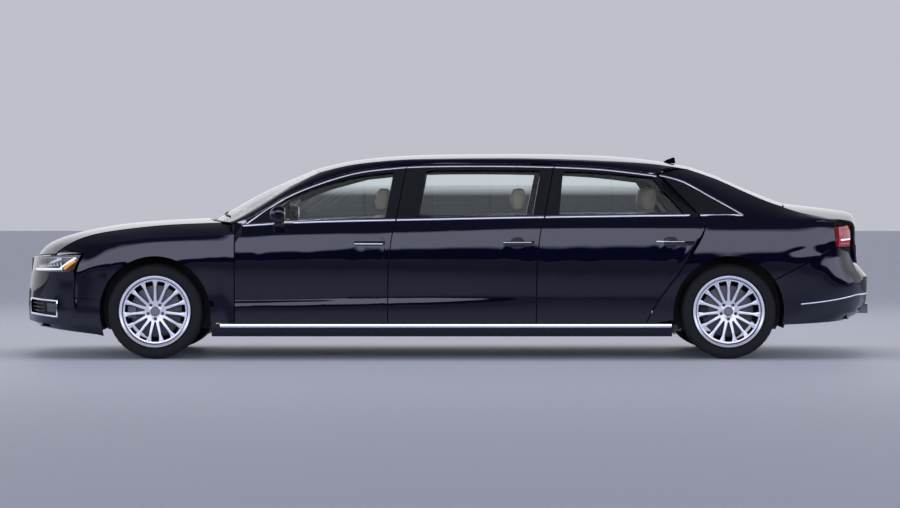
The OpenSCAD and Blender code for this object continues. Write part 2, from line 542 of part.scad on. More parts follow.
// Inner frame of one side: sill beam, four posts and the rail over the doors
module side_frame() {
    // Columns: front and rear of each post at the sill, at the waist and under the roof
    posts = [
        [seam_a - 30, seam_a + 84, seam_a - 30, seam_a + 84, seam_a - 30, seam_a + 84],
        [seam_b - 12, seam_b + 84, seam_b + 2, seam_b + 90, seam_b + 96, seam_b + 166],
        [seam_c - 12, seam_c + 84, seam_c + 2, seam_c + 90, seam_c + 96, seam_c + 166],
        [seam_d - 40, seam_d + 24, seam_d + 240, seam_d + 282, seam_d + 8, seam_d + 70]];
    nd = 4;
    at_post = function (k, c) posts[floor(k / 2)][2 * c + k % 2];
    // Place along x of column i on level c
    col = function (i, c)
        let (b = floor(i / (nd + 1)), f = i % (nd + 1))
        f == 0 ? at_post(2 * b, c) : lerp(at_post(2 * b + 1, c), at_post(2 * b + 2, c), (f - 1) / nd);
    n = 3 * (nd + 1) + 1;
    xs = function (i, c) i == n ? at_post(7, c) : col(i, c);
    cell = [for (i = [0:n]) [
        [xs(i, 0), sill_z + 85.3, 0], [xs(i, 0), 356, 0], [lerp(xs(i, 0), xs(i, 1), 0.5), 520, 0], [xs(i, 1), 700, 0],
        [xs(i, 1), 930, 0],
        [max(lerp(xs(i, 1), xs(i, 2), 0.3), i < 5 ? xf + 850 : -9999), 0, 1],
        [max(xs(i, 2), i < 5 ? xf + 900 + i * 90 : -9999), 0, 2],
        [max(xs(i, 2), i < 5 ? xf + 900 + i * 90 : -9999), 0, 3]]];
    spot = function (c) c[2] == 0 ? [c[0], c[1]] : c[2] == 1 ? [c[0], belt(c[0]) + 20]
        : [c[0], top(c[0]) - (c[2] == 2 ? 72 : 30)];
    din = [door_t + 12, door_t + 12, door_t + 12, door_t + 12, door_t + 12, door_t - 4, frame_t + 10, frame_t + 10];
    thick = [60, 60, 60, 60, 60, 28, 28, 28];
    shell([for (c = cell) [for (j = [0:7]) on_side(spot(c[j]), din[j])]],
        [for (c = cell) [for (j = [0:7]) on_side(spot(c[j]), din[j] + thick[j])]],
        function (i, j) j == 0 || (j == 6 && i > 0) || (i % (nd + 1) == 0 && (i > 0 || j < 4)));
}
module side_frames() {
    color([0.16, 0.16, 0.18]) both() {
        side_frame();
        for (f = [f_front, f_middle, f_rear]) hinge_eyes(f(door_z) + hinge_dx);
    }
}

module headlamp() {
    as = spread(0, 1, 8);
    zs = [0, 0.25, 0.5, 0.75, 1];
    at_a = function (s, t) lerp(lerp(-21.5, -69, s), lerp(-21.5, -73.4, s), t);
    at_z = function (s, t) lerp(642, lerp(748, 766, s), t);
    g = function (d) [for (s = as) [for (t = zs) front_wrap(at_a(s, t), at_z(s, t), d)]];
    shell(g(0), g(70));
}
module headlamps() { color([0.85, 0.88, 0.9]) both() headlamp(); }
module tail_lamp() {
    as = spread(-55, -39.4, 5);
    zs = spread(0, 1, 5);
    g = function (d) [for (a = as) [for (t = zs) rear_wrap(a, lerp(826, lerp(968, 984, (a + 56) / 17), t), d)]];
    shell(g(0), g(60));
}
module tail_lamps() { color([0.7, 0.05, 0.08]) both() tail_lamp(); }
// Six-sided grille with level slats, in the bumper's opening
module grille() {
    x = x_nose + 52;
    ring = [[-330, 262], [-396, 420], [-404, 620], [-350, 738], [350, 738], [404, 620], [396, 420], [330, 262]];
    hole = [[-306, 284], [-370, 424], [-378, 612], [-334, 716], [334, 716], [378, 612], [370, 424], [306, 284]];
    half_at = function (z) z < 424 ? lerp(306, 370, (z - 284) / 140) : z < 612 ? lerp(370, 378, (z - 424) / 188)
        : lerp(378, 334, (z - 612) / 104);
    color([0.75, 0.75, 0.78]) {
        translate([x, 0, 0]) rotate([90, 0, 90]) linear_extrude(44) difference() {
            polygon(ring);
            polygon(hole);
        }
        for (z = [320:44:690]) translate([x + 6, -half_at(z), z]) cube([26, 2 * half_at(z), 12]);
    }
}

// Floor with bulkheads, beams, wheelhouse walls and hinge brackets
lid_x = xr + 293;
lid_z = 1066;
hood_x = xf + 425;
hood_z = 962;
module underbody() {
    z = sill_z + 55;
    xs = spread(seam_a - 60, xr - 372, 8);
    color([0.2, 0.2, 0.21]) difference() {
        union() {
            translate([0, 0, z]) linear_extrude(30) polygon(concat(
                [for (x = xs) [x, -side(x, z) + 51.2]], [for (i = [8:-1:0]) [xs[i], side(xs[i], z) - 51.2]]));
            for (s = [-1, 1]) translate([x_nose + 170, s * 410 - 45, 330]) cube([seam_a - x_nose - 200, 90, 110]);
            translate([seam_a - 60, -640, z]) cube([30, 1280, 700]);
            translate([x_nose + 96.3, -330, 300]) cube([90, 660, 300]);
            translate([x_nose + 130, -455, 330]) cube([56, 910, 110]);
            translate([xr - 402, -520, z]) cube([30, 1040, 269.7]);
            for (s = [-1, 1]) {
                translate([xf - 420, s * 470 - 15, 330]) cube([840, 30, 440]);
                translate([hood_x - 22, s * 615 - 15, 880]) cube([128, 30, 104]);
                for (x = [seam_a + 150, seam_d - 150]) translate([x - 40, s * 760 - 40, z - 20]) cube([80, 80, 30]);
            }
        }
        translate([seam_a - 100, -200, z - 10]) cube([500, 400, 380]);
        translate([hood_x, 700, hood_z]) rotate([90, 0, 0]) cylinder(h = 1400, r = 8.1);
    }
}
// Boot floor with its walls, the bulkhead behind the seats and the lid's hinge brackets
module boot_tub() {
    z = sill_z + 325;
    color([0.2, 0.2, 0.21]) difference() {
        union() {
            translate([xr - 402, -520, z]) cube([1272, 1040, 30]);
            translate([xr - 70, -520, z]) rotate([0, 12, 0]) cube([30, 1040, 560]);
            translate([xr + 860, -60, z + 10]) cube([x_tail - 18 - xr - 860, 120, 20]);
            for (s = [-1, 1]) {
                translate([xr - 330, s * 520 - 15, z]) cube([1200, 30, 400]);
                translate([lid_x - 26, s * 520 - 15, 860]) cube([52, 30, lid_z + 22 - 860]);
            }
        }
        translate([lid_x, 600, lid_z]) rotate([90, 0, 0]) cylinder(h = 1200, r = 8.1);
    }
}
// Engine as one plain block at its real place
module engine() {
    color([0.45, 0.46, 0.48]) union() {
        translate([xf - 330, -300, 320]) cube([620, 600, 480]);
        translate([xf - 300, -260, 790]) cube([560, 520, 100]);
        translate([xf + 280, -190, 250]) cube([570, 380, 330]);
        translate([xf - 60, -364.7, 340]) cube([120, 729.4, 80]);
    }
}
module exhaust() {
    color([0.6, 0.6, 0.62]) union() {
        for (s = [-1, 1]) {
            translate([xf + 700, s * 90, sill_z + 29.7]) rotate([0, 90, 0]) cylinder(h = xr - xf - 990, r = 25);
            translate([xr - 335, s * 90 - 25, sill_z + 5]) cube([50, 50, 285]);
            translate([xr - 310, s * 90, 430]) rotate([0, 90, 0]) cylinder(h = 930, r = 25);
            translate([xr + 600, s * 300 - 240, 300]) cube([300, 480, 189.7]);
            translate([xr + 890, s * 450, 352]) rotate([0, 90, 0]) linear_extrude(x_tail - 35 - xr - 890)
                difference() {
                    polygon([[-42, -80], [-42, 80], [28, 96], [28, -96]]);
                    polygon([[-36, -74], [-36, 74], [22, 88], [22, -88]]);
                }
        }
    }
}
// Tyre as a turned ring about the y axis
module tyre() {
    h = tyre_w / 2;
    color([0.08, 0.08, 0.08]) rotate([90, 0, 0]) rotate_extrude()
        polygon([[rim_r - 18, -h + 20], [rim_r + 6, -h + 6], [rim_r + 34, -h], [rim_r + 56, -h + 4], [tyre_r - 14, -h + 16],
            [tyre_r - 4, -h + 34], [tyre_r, -h + 60], [tyre_r, h - 60], [tyre_r - 4, h - 34], [tyre_r - 14, h - 16],
            [rim_r + 56, h - 4], [rim_r + 34, h], [rim_r + 6, h - 6], [rim_r - 18, h - 20]]);
}
hub_r = 32;
// Flat outline of one spoke that forks at the rim
module spoke() {
    polygon([[60, -11], [120, -9], [180, -8], [206, -14], [240, -23], [240, -9], [218, 0], [240, 9], [240, 23], [206, 14],
        [180, 8], [120, 9], [60, 11]]);
}
// Wheel with hub and brake disc; the outer face is towards -Y
module wheel() {
    h = tyre_w / 2;
    color([0.75, 0.75, 0.78]) rotate([90, 0, 0]) difference() {
        union() {
            rotate_extrude() polygon([[rim_r - 19, -h + 20], [rim_r - 6, -h + 3], [rim_r, -h + 3], [rim_r, -h - 2], [rim_r - 14, -h - 2],
                [rim_r - 40, -h + 40], [rim_r - 40, h - 60], [rim_r - 18, h - 8], [rim_r - 4, h + 1], [rim_r, h + 1], [rim_r, h - 3],
                [rim_r - 6, h - 3], [rim_r - 19, h - 20], [rim_r - 30, h - 60], [rim_r - 30, -h + 50]]);
            intersection() {
                linear_extrude(height = 200, center = true) union() {
                    circle(r = 78);
                    for (i = [0:spokes - 1]) rotate(90 + 360 * i / spokes) spoke();
                    difference() {
                        circle(r = rim_r - 26);
                        circle(r = rim_r - 38);
                    }
                }
                rotate_extrude() polygon([[0, 60], [70, 60], [rim_r - 6, h - 36], [rim_r - 6, h - 10], [150, h - 22], [72, h - 40],
                    [0, h - 40]]);
            }
            rotate_extrude() polygon([[0, -30], [76, -30], [76, 61], [0, 61]]);
            rotate_extrude() polygon([[70, -10], [190, -10], [190, 20], [70, 20]]);
        }
        translate([0, 0, -60]) cylinder(h = 112, r = hub_r);
        for (i = [0:bolts - 1]) rotate(54 + 360 * i / bolts) translate([pcd / 2, 0, 62]) cylinder(h = 60, r = 13);
    }
}
module at_wheel(front, left) {
    translate([front ? xf : xr, left ? -wheel_y : wheel_y, axle_z]) mirror([0, left ? 0 : 1, 0]) children();
}
module tyre_front_left() { at_wheel(true, true) tyre(); }
module tyre_front_right() { at_wheel(true, false) tyre(); }
module tyre_rear_left() { at_wheel(false, true) tyre(); }
module tyre_rear_right() { at_wheel(false, false) tyre(); }
module wheel_front_left() { at_wheel(true, true) wheel(); }
module wheel_front_right() { at_wheel(true, false) wheel(); }
module wheel_rear_left() { at_wheel(false, true) wheel(); }
module wheel_rear_right() { at_wheel(false, false) wheel(); }
king_y = 62;
// Upright with its stub axle, calliper and eyes for the kingpin, in wheel coordinates, inner side at +Y
module upright(eyes) {
    difference() {
        union() {
            rotate([90, 0, 0]) translate([0, 0, -60]) cylinder(h = 108, r = hub_r - 0.1);
            translate([-45, 36, -150]) cube([90, 52, 300]);
            translate([-206, 36, -50]) cube([190, 40, 100]);
            translate([-206, -36, -50]) cube([60, 76, 100]);
        }
        if (eyes) translate([0, king_y, -160]) cylinder(h = 320, r = 12);
        translate([-196, -27, -60]) cube([100, 44, 120]);
    }
}
module knuckle_left() { color([0.5, 0.5, 0.52]) at_wheel(true, true) upright(true); }
module knuckle_right() { color([0.5, 0.5, 0.52]) at_wheel(true, false) upright(true); }
// Axle frames: front arms with the kingpins, rear beam with the stub axles
module axles() {
    ky = wheel_y - king_y;
    color([0.35, 0.35, 0.37]) {
        union() {
            translate([xf - 45, -ky - 30, axle_z - 182]) cube([90, 2 * ky + 60, 24]);
            translate([xf - 120, -430, axle_z - 170]) cube([240, 860, 60]);
            for (s = [-1, 1]) translate([xf - 110, s * 405 - 25, axle_z - 120]) cube([50, 50, 329.7 - axle_z + 120]);
            for (s = [-1, 1]) translate([xf, s * ky, axle_z - 180]) cylinder(h = 70, r = 11.9);
        }
        for (s = [-1, 1]) {
            translate([xf - 45, s > 0 ? 485.3 : -ky - 30, axle_z + 156]) cube([90, ky + 30 - 485.3, 24]);
            translate([xf, s * ky, axle_z + 110]) cylinder(h = 60, r = 11.9);
        }
        union() {
            both() at_wheel(false, true) upright(false);
            translate([xr - 45, -wheel_y + 80, axle_z - 60]) cube([90, 2 * wheel_y - 160, 70]);
            translate([xr - 140, -150, axle_z - 90]) cube([280, 300, 120]);
            for (s = [-1, 1]) translate([xr - 25, s * 400 - 25, axle_z - 20]) cube([50, 50, sill_z + 324.7 - axle_z + 20]);
        }
    }
}
// Side outline of a seat from the front of its cushion
module seat() {
    rotate([90, 0, 0]) linear_extrude(seat_w, center = true) {
        polygon([[0, cushion_z - 60], [10, cushion_z - 10], [60, cushion_z + 12], [300, cushion_z - 14], [490, cushion_z - 30],
            [520, cushion_z + 60], [560, cushion_z + 330], [600, cushion_z + 500], [640, cushion_z + 530], [700, cushion_z + 516],
            [694, cushion_z + 380], [660, cushion_z + 60], [640, cushion_z - 150], [60, cushion_z - 170]]);
    }
    rotate([90, 0, 0]) linear_extrude(260, center = true)
        polygon([[610, cushion_z + 520], [612, cushion_z + 600], [632, cushion_z + 700], [670, cushion_z + 716], [716, cushion_z + 690],
            [716, cushion_z + 560], [680, cushion_z + 512]]);
    for (s = [-1, 1]) translate([60, s * 190 - 30, sill_z + 85]) cube([560, 60, cushion_z - 170 - sill_z - 85 + 20]);
}
module seats() {
    color([0.85, 0.8, 0.68]) for (x = [seam_a + 410, seam_b + 310, seam_c + 200]) for (s = [-1, 1])
        translate([x, s * seat_y, 0]) seat();
}
module dashboard() {
    x = seam_a;
    color([0.2, 0.2, 0.22]) {
        translate([0, 700, 0]) rotate([90, 0, 0]) linear_extrude(1400)
            polygon([[x - 29.7, 640], [x + 250, 640], [x + 330, 720], [x + 350, 840], [x + 320, 930], [x + 200, 975], [x - 29.7, 985]]);
        translate([x + 290, -90, sill_z + 85]) cube([780, 180, 330]);
    }
}
module steering_wheel() {
    color([0.15, 0.15, 0.16]) translate([seam_a + 430, -seat_y, 850]) rotate([0, 68, 0]) {
        rotate_extrude() translate([178, 0]) circle(r = 15);
        translate([0, 0, -30]) cylinder(h = 40, r = 70);
        for (a = [0, 90, 180]) rotate(a - 90) translate([40, -20, -12]) cube([135, 40, 16]);
        translate([0, 0, -77]) cylinder(h = 60, r = 30);
    }
}
module mirror_housing() {
    translate([xf + 918, -half_w + 8, 1064]) rotate([90, 0, 0]) difference() {
        rotate_extrude() polygon([[0, -14], [26, -14], [34, 0], [50, 16], [64, 50], [66, 80], [56, 104], [34, 114], [0, 116]]);
        translate([44, -100, -30]) cube([100, 200, 200]);
    }
    g = [for (x = [xf + 880, xf + 955]) [for (z = [shoulder(x) + 12, belt(x) - 6]) [x, z]]];
    shell([for (c = g) [for (p = c) [p[0], -half_w - 30, p[1] + 45]]], [for (c = g) [for (p = c) on_side(p, -0.4)]]);
}
module mirror_left() { color(paint) mirror_housing(); }
module mirror_right() { color(paint) mirror([0, 1, 0]) mirror_housing(); }

// Node to build
underbody();
boot_tub();
side_frames();
side_panels();
sill_trims();
roof_panel();
windscreen();
rear_window();
quarter_windows();
front_fenders();
front_bumper();
rear_bumper();
grille();
headlamps();
tail_lamps();
exhaust();
engine();
axles();
seats();
dashboard();
steering_wheel();
knuckle_left();
knuckle_right();
tyre_front_left();
tyre_front_right();
tyre_rear_left();
tyre_rear_right();
wheel_front_left();
wheel_front_right();
wheel_rear_left();
wheel_rear_right();
door_front_left();
door_front_right();
door_middle_left();
door_middle_right();
door_rear_left();
door_rear_right();
glass_front_left();
glass_front_right();
glass_middle_left();
glass_middle_right();
glass_rear_left();
glass_rear_right();
mirror_left();
mirror_right();
bonnet();
boot_lid();
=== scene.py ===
import math

import bmesh
import bpy
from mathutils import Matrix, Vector
from mathutils.bvhtree import BVHTree


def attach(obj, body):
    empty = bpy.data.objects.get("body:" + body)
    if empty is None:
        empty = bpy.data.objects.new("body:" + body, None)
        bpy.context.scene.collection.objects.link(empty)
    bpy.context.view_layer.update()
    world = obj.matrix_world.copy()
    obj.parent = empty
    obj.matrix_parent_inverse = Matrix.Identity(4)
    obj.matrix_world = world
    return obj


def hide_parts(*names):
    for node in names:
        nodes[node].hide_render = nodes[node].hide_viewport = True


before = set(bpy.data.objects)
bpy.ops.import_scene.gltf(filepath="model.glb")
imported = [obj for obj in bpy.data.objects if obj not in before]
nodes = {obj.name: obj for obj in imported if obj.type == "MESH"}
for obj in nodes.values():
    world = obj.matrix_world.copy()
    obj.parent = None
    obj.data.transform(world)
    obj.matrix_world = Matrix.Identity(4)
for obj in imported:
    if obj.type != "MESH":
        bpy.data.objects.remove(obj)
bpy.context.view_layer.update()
scene = bpy.context.scene
scene.view_settings.view_transform = "Standard"

SIDES = ("left", "right")
SIGN = {"left": -1.0, "right": 1.0}
ROWS = ("front", "middle", "rear")

# Photograph: 900 by 508 pixels, near side at 7.335 mm a pixel
PHOTO_WIDTH = 900
CAMERA_DISTANCE = 22.0
SIDE_SCALE = 0.007335
NEAR_SIDE = -0.974
LENS_PIXELS = CAMERA_DISTANCE / SIDE_SCALE
CENTRE = Vector((0.0198, NEAR_SIDE, 0.774))
CAMERA_PLACE = Vector((0.0, NEAR_SIDE - CAMERA_DISTANCE, 1.2))


def add_camera():
    bpy.ops.object.camera_add(location=CAMERA_PLACE)
    camera = bpy.context.object
    camera.rotation_euler = (CENTRE - CAMERA_PLACE).to_track_quat("-Z", "Y").to_euler()
    camera.data.sensor_width = 36.0
    camera.data.lens = LENS_PIXELS * camera.data.sensor_width / PHOTO_WIDTH
    camera.data.clip_end = 200.0
    scene.camera = camera


add_camera()


# Selecting and finishing

def only(*pieces):
    bpy.ops.object.select_all(action="DESELECT")
    for piece in pieces:
        piece.select_set(True)
    bpy.context.view_layer.objects.active = pieces[0]


def open_edit(piece):
    """Edit mode on one piece, with everything selected."""
    only(piece)
    bpy.ops.object.mode_set(mode="EDIT")
    bpy.ops.mesh.select_all(action="SELECT")


def close_edit():
    bpy.ops.object.mode_set(mode="OBJECT")


def merge_doubles(piece, outward=False):
    open_edit(piece)
    bpy.ops.mesh.remove_doubles(threshold=0.00001)
    if outward:
        bpy.ops.mesh.normals_make_consistent(inside=False)
    close_edit()


def apply_modifiers(piece):
    only(piece)
    for modifier in list(piece.modifiers):
        bpy.ops.object.modifier_apply(modifier=modifier.name)


def add_modifier(piece, kind, **values):
    modifier = piece.modifiers.new(kind.title(), kind)
    for name, value in values.items():
        setattr(modifier, name, value)


def smooth(piece, degrees=32.0):
    only(piece)
    bpy.ops.object.shade_smooth_by_angle(angle=math.radians(degrees))


# The usual slot of each material, by the material's name
SLOT_OF = {}


def finish_piece(piece, material, body="car_body", slot=None, replaced=()):
    piece.data.materials.clear()
    piece.data.materials.append(material)
    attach(piece, body)
    slot or SLOT_OF[material.name]
    if replaced:
        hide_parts(*replaced)
    return piece


def zoned(piece, *zones):
    """Gives another material to the faces that pass a test of their centre and normal."""
    for material, test in zones:
        piece.data.materials.append(material)
        index = len(piece.data.materials) - 1
        for face in piece.data.polygons:
            if test(face.center, face.normal):
                face.material_index = index


def node_copy(node, name):
    piece = bpy.data.objects.new(name, nodes[node].data.copy())
    scene.collection.objects.link(piece)
    open_edit(piece)
    bpy.ops.mesh.remove_doubles(threshold=0.00003)
    bpy.ops.mesh.customdata_custom_splitnormals_clear()
    bpy.ops.mesh.dissolve_limited(angle_limit=math.radians(0.05))
    close_edit()
    return piece


def rounded_copy(node, name, width, segments, limit, material, body="car_body", soft=32.0):
    """One of the frame's solids with its edges rounded, in place of that solid."""
    piece = node_copy(node, name)
    add_modifier(piece, "BEVEL", width=width, segments=segments, limit_method="ANGLE",
                 angle_limit=math.radians(limit))
    apply_modifiers(piece)
    smooth(piece, soft)
    return finish_piece(piece, material, body, replaced=(node,))


def tree_of(*pieces):
    """Search tree over the faces of some pieces."""
    shell = bmesh.new()
    for piece in pieces:
        shell.from_mesh(piece.data)
    tree = BVHTree.FromBMesh(shell)
    shell.free()
    return tree


def spread(a, b, count):
    return [a + (b - a) * i / (count - 1) for i in range(count)]


def signed_power(value, power):
    return math.copysign(abs(value) ** power, value)


# Materials

def new_material(name):
    material = bpy.data.materials.new(name)
    material.use_nodes = True
    tree = material.node_tree
    return material, tree, tree.nodes["Principled BSDF"]


def link(tree, a, out, b, into):
    tree.links.new(a.outputs[out], b.inputs[into])


def set_inputs(node, **values):
    """Sets sockets by name: from_min stands for From Min."""
    for label, value in values.items():
        node.inputs[label.replace("_", " ").title().replace("Ior", "IOR")].default_value = value


def add_node(tree, kind, operation=None, **values):
    node = tree.nodes.new("ShaderNode" + kind)
    if operation:
        node.operation = operation
    set_inputs(node, **values)
    return node


def mottle_group():
    """Slow and fine variation of one colour, with a roughness and a height."""
    group = bpy.data.node_groups.new("SurfaceMottle", "ShaderNodeTree")
    for way, names in (("INPUT", ("Colour", "Amount", "Scale", "Roughness", "Roughness Range")),
                       ("OUTPUT", ("Colour", "Roughness", "Height"))):
        for name in names:
            kind = "NodeSocketColor" if name == "Colour" else "NodeSocketFloat"
            group.interface.new_socket(name, in_out=way, socket_type=kind)
    start = group.nodes.new("NodeGroupInput")
    end = group.nodes.new("NodeGroupOutput")
    place = add_node(group, "TexCoord")
    noise = add_node(group, "TexNoise", detail=5.0, roughness=0.62)
    link(group, place, "Object", noise, "Vector")
    link(group, start, "Scale", noise, "Scale")
    shade = add_node(group, "MapRange", from_min=0.3, from_max=0.7, to_min=-1.0)
    link(group, noise, "Fac", shade, "Value")
    times = add_node(group, "Math", "MULTIPLY_ADD")
    times.inputs[2].default_value = 1.0
    link(group, shade, "Result", times, 0)
    link(group, start, "Amount", times, 1)
    tint = add_node(group, "VectorMath", "SCALE")
    link(group, start, "Colour", tint, 0)
    link(group, times, 0, tint, "Scale")
    link(group, tint, 0, end, "Colour")
    rough = add_node(group, "Math", "MULTIPLY_ADD")
    link(group, shade, "Result", rough, 0)
    link(group, start, "Roughness Range", rough, 1)
    link(group, start, "Roughness", rough, 2)
    link(group, rough, 0, end, "Roughness")
    link(group, noise, "Fac", end, "Height")
    return group


MOTTLE = mottle_group()


def finish_material(name, slot, colour, roughness, amount, scale, rough_range, bump=0.0,
                    bump_distance=0.0005, **sockets):
    material, tree, shader = new_material(name)
    SLOT_OF[material.name] = slot
    mottle = tree.nodes.new("ShaderNodeGroup")
    mottle.node_tree = MOTTLE
    set_inputs(mottle, colour=(*colour, 1), amount=amount, scale=scale, roughness=roughness,
               roughness_range=rough_range)
    link(tree, mottle, "Colour", shader, "Base Color")
    link(tree, mottle, "Roughness", shader, "Roughness")
    if bump:
        relief = add_node(tree, "Bump", strength=bump, distance=bump_distance)
        link(tree, mottle, "Height", relief, "Height")
        link(tree, relief, "Normal", shader, "Normal")
    set_inputs(shader, **sockets)
    return material


def glass_material(name, colour):
    material, _, shader = new_material(name)
    set_inputs(shader, transmission_weight=1.0, ior=1.45, roughness=0.0, base_color=(*colour, 1))
    return material


PAINT = finish_material("NavyPaint", "paint", (0.0016, 0.0021, 0.0095), 0.34, 0.3, 2600.0, 0.08,
                        metallic=0.3, specular_ior_level=0.0, coat_weight=1.0, coat_roughness=0.012,
                        coat_ior=1.5)
CHROME = finish_material("Chrome", "bright_trim", (0.84, 0.85, 0.88), 0.07, 0.03, 30.0, 0.03,
                         metallic=1.0)
BLACK_GLOSS = finish_material("PillarBlack", "dark_trim", (0.008, 0.008, 0.01), 0.08, 0.1, 60.0, 0.02,
                              coat_weight=0.6)
RUBBER = finish_material("TyreRubber", "tyre", (0.007, 0.007, 0.0075), 0.75, 0.25, 160.0, 0.08,
                         bump=0.2, specular_ior_level=0.3)
WHEEL = finish_material("WheelSilver", "wheel_silver", (0.74, 0.745, 0.77), 0.3, 0.05, 900.0, 0.05,
                        metallic=0.55, coat_weight=0.5)
DISC = finish_material("BrakeDisc", "wheel_silver", (0.09, 0.09, 0.095), 0.42, 0.2, 140.0, 0.08,
                       metallic=0.8)
BLACK_TRIM = finish_material("BlackTrim", "dark_trim", (0.007, 0.007, 0.008), 0.55, 0.15, 500.0, 0.08,
                             bump=0.25)
CAST = finish_material("CastMetal", "cast", (0.2, 0.2, 0.21), 0.55, 0.15, 120.0, 0.1, bump=0.3,
                       metallic=0.7)
STEEL = finish_material("PipeSteel", "steel", (0.5, 0.5, 0.52), 0.3, 0.1, 60.0, 0.1, metallic=1.0)
LEATHER = finish_material("CreamLeather", "cream_leather", (0.8, 0.74, 0.6), 0.45, 0.08, 320.0, 0.08,
                          bump=0.35)
DARK_LEATHER = finish_material("DarkDash", "dark_trim", (0.03, 0.028, 0.027), 0.55, 0.15, 420.0, 0.06,
                               bump=0.3)
CARPET = finish_material("CabinCarpet", "dark_trim", (0.035, 0.033, 0.032), 0.95, 0.35, 900.0, 0.03,
                         bump=0.6, bump_distance=0.002)
LINING = finish_material("RoofLining", "cream_leather", (0.5, 0.47, 0.4), 0.85, 0.06, 500.0, 0.05,
                         bump=0.2)
WOOD = finish_material("DoorWood", "dark_trim", (0.09, 0.035, 0.015), 0.18, 0.5, 24.0, 0.06,
                       coat_weight=0.8)
PLATE = finish_material("BlankPlate", "bright_trim", (0.72, 0.72, 0.7), 0.35, 0.03, 30.0, 0.05)
LED = finish_material("LampLed", "lamp_clear", (0.9, 0.92, 0.95), 0.25, 0.02, 60.0, 0.02,
                      emission_color=(0.9, 0.95, 1.0, 1), emission_strength=0.9)
AMBER = finish_material("MarkerAmber", "lamp_clear", (0.75, 0.2, 0.01), 0.2, 0.1, 60.0, 0.04,
                        emission_color=(1.0, 0.38, 0.03, 1), emission_strength=0.7)
RED_LAMP = finish_material("RedLamp", "lamp_red", (0.42, 0.012, 0.02), 0.1, 0.1, 80.0, 0.03,
                           coat_weight=1.0)
GLASS = glass_material("WindowGlass", (0.86, 0.9, 0.9))
LAMP_GLASS = glass_material("LampGlass", (0.95, 0.96, 0.97))

# Solids that stay as the frame has them
CAD_FINISHES = (
    (GLASS, ("glass_", "windscreen", "rear_window", "quarter_windows")),
    (BLACK_TRIM, ("side_frames", "underbody", "boot_tub", "axles")),
    (CHROME, ("sill_trims", "grille")),
    (CAST, ("knuckle_",)),
    (DARK_LEATHER, ("dashboard",)))
for node, solid in nodes.items():
    for material, starts in CAD_FINISHES:
        if node.startswith(starts):
            solid.data.materials.clear()
            solid.data.materials.append(material)


# Body panels: the frame's own skins, rounded

PANELS = []


def panel(node, name, body="car_body", material=PAINT, levels=2, sharp=24.0, flat=60.0):
    piece = node_copy(node, name)
    open_edit(piece)
    bpy.ops.mesh.select_mode(type="EDGE")
    bpy.ops.mesh.tris_convert_to_quads(face_threshold=math.radians(flat),
                                       shape_threshold=math.radians(80))
    bpy.ops.mesh.select_all(action="DESELECT")
    bpy.ops.mesh.edges_select_sharp(sharpness=math.radians(sharp))
    bpy.ops.transform.edge_crease(value=1.0)
    close_edit()
    if levels:
        add_modifier(piece, "SUBSURF", levels=levels, render_levels=levels)
    apply_modifiers(piece)
    smooth(piece)
    PANELS.append(piece)
    return finish_piece(piece, material, body, replaced=(node,))


def calm_wings(bumper, fender):
    """Takes the dip out of the side ahead of the front wheel, where the bumper meets the fender."""
    tree = tree_of(bumper, fender)
    first_x, last_x, ramp = -2.92, -2.48, 0.08
    low, high = 0.372, 0.62
    # Bumper and fender meet at the seam's height; past the arch's edge the side runs on straight
    seam, below, above = 0.4445, 0.006, 0.007
    arch_edge, step = -2.595, 0.04

    def cast(x, z, s):
        place, _, _, _ = tree.ray_cast(Vector((x, 3.0 * s, z)), Vector((0, -s, 0)))
        return abs(place.y) if place is not None else 0.0

    def outer(x, z, s):
        if x <= arch_edge:
            return cast(x, z, s)
        here = cast(arch_edge, z, s)
        return here + (here - cast(arch_edge - step, z, s)) * (x - arch_edge) / step

    for piece in (bumper, fender):
        moved = []
        for vertex in piece.data.vertices:
            x, y, z = vertex.co
            if first_x < x < last_x and low < z < high:
                s = math.copysign(1.0, y)
                own = outer(x, min(z, seam - below) if piece is bumper else max(z, seam + above), s)
                first, last = outer(x, low, s), outer(x, high, s)
                if min(first, last) > 0.5 and abs(abs(y) - own) < 0.004:
                    line = first + (last - first) * (z - low) / (high - low)
                    share = min(1.0, (x - first_x) / ramp)
                    moved.append((vertex, s * (abs(y) + (line - abs(y)) * share)))
        for vertex, y in moved:
            vertex.co.y = y
        piece.data.update()


SHELL = {}
for part in ("side_panels", "roof_panel", "front_fenders", "front_bumper", "rear_bumper"):
    SHELL[part] = panel(part, part.title().replace("_", ""))
calm_wings(SHELL["front_bumper"], SHELL["front_fenders"])
panel("tail_lamps", "TailLamps", material=RED_LAMP, sharp=40.0)
BONNET = panel("bonnet", "BonnetSkin", "bonnet")
# The lid's hinge arms pass close by the rear window, so they keep the solid's shape
BOOT_LID = panel("boot_lid", "BootLidSkin", "boot_lid", levels=0, flat=1.0)
for piece in (BONNET, BOOT_LID):
    zoned(piece, (BLACK_TRIM, lambda c, n: n.z < -0.3 or (n.x < -0.3 and c.x > 2.6)))
DOORS = {}
for side in SIDES:
    for row in ROWS:
        door = f"door_{row}_{side}"
        DOORS[row, side] = panel(door, f"DoorSkin_{row}_{side}", door)
    panel(f"mirror_{side}", f"MirrorShell_{side}", f"door_front_{side}", levels=1, sharp=60.0)


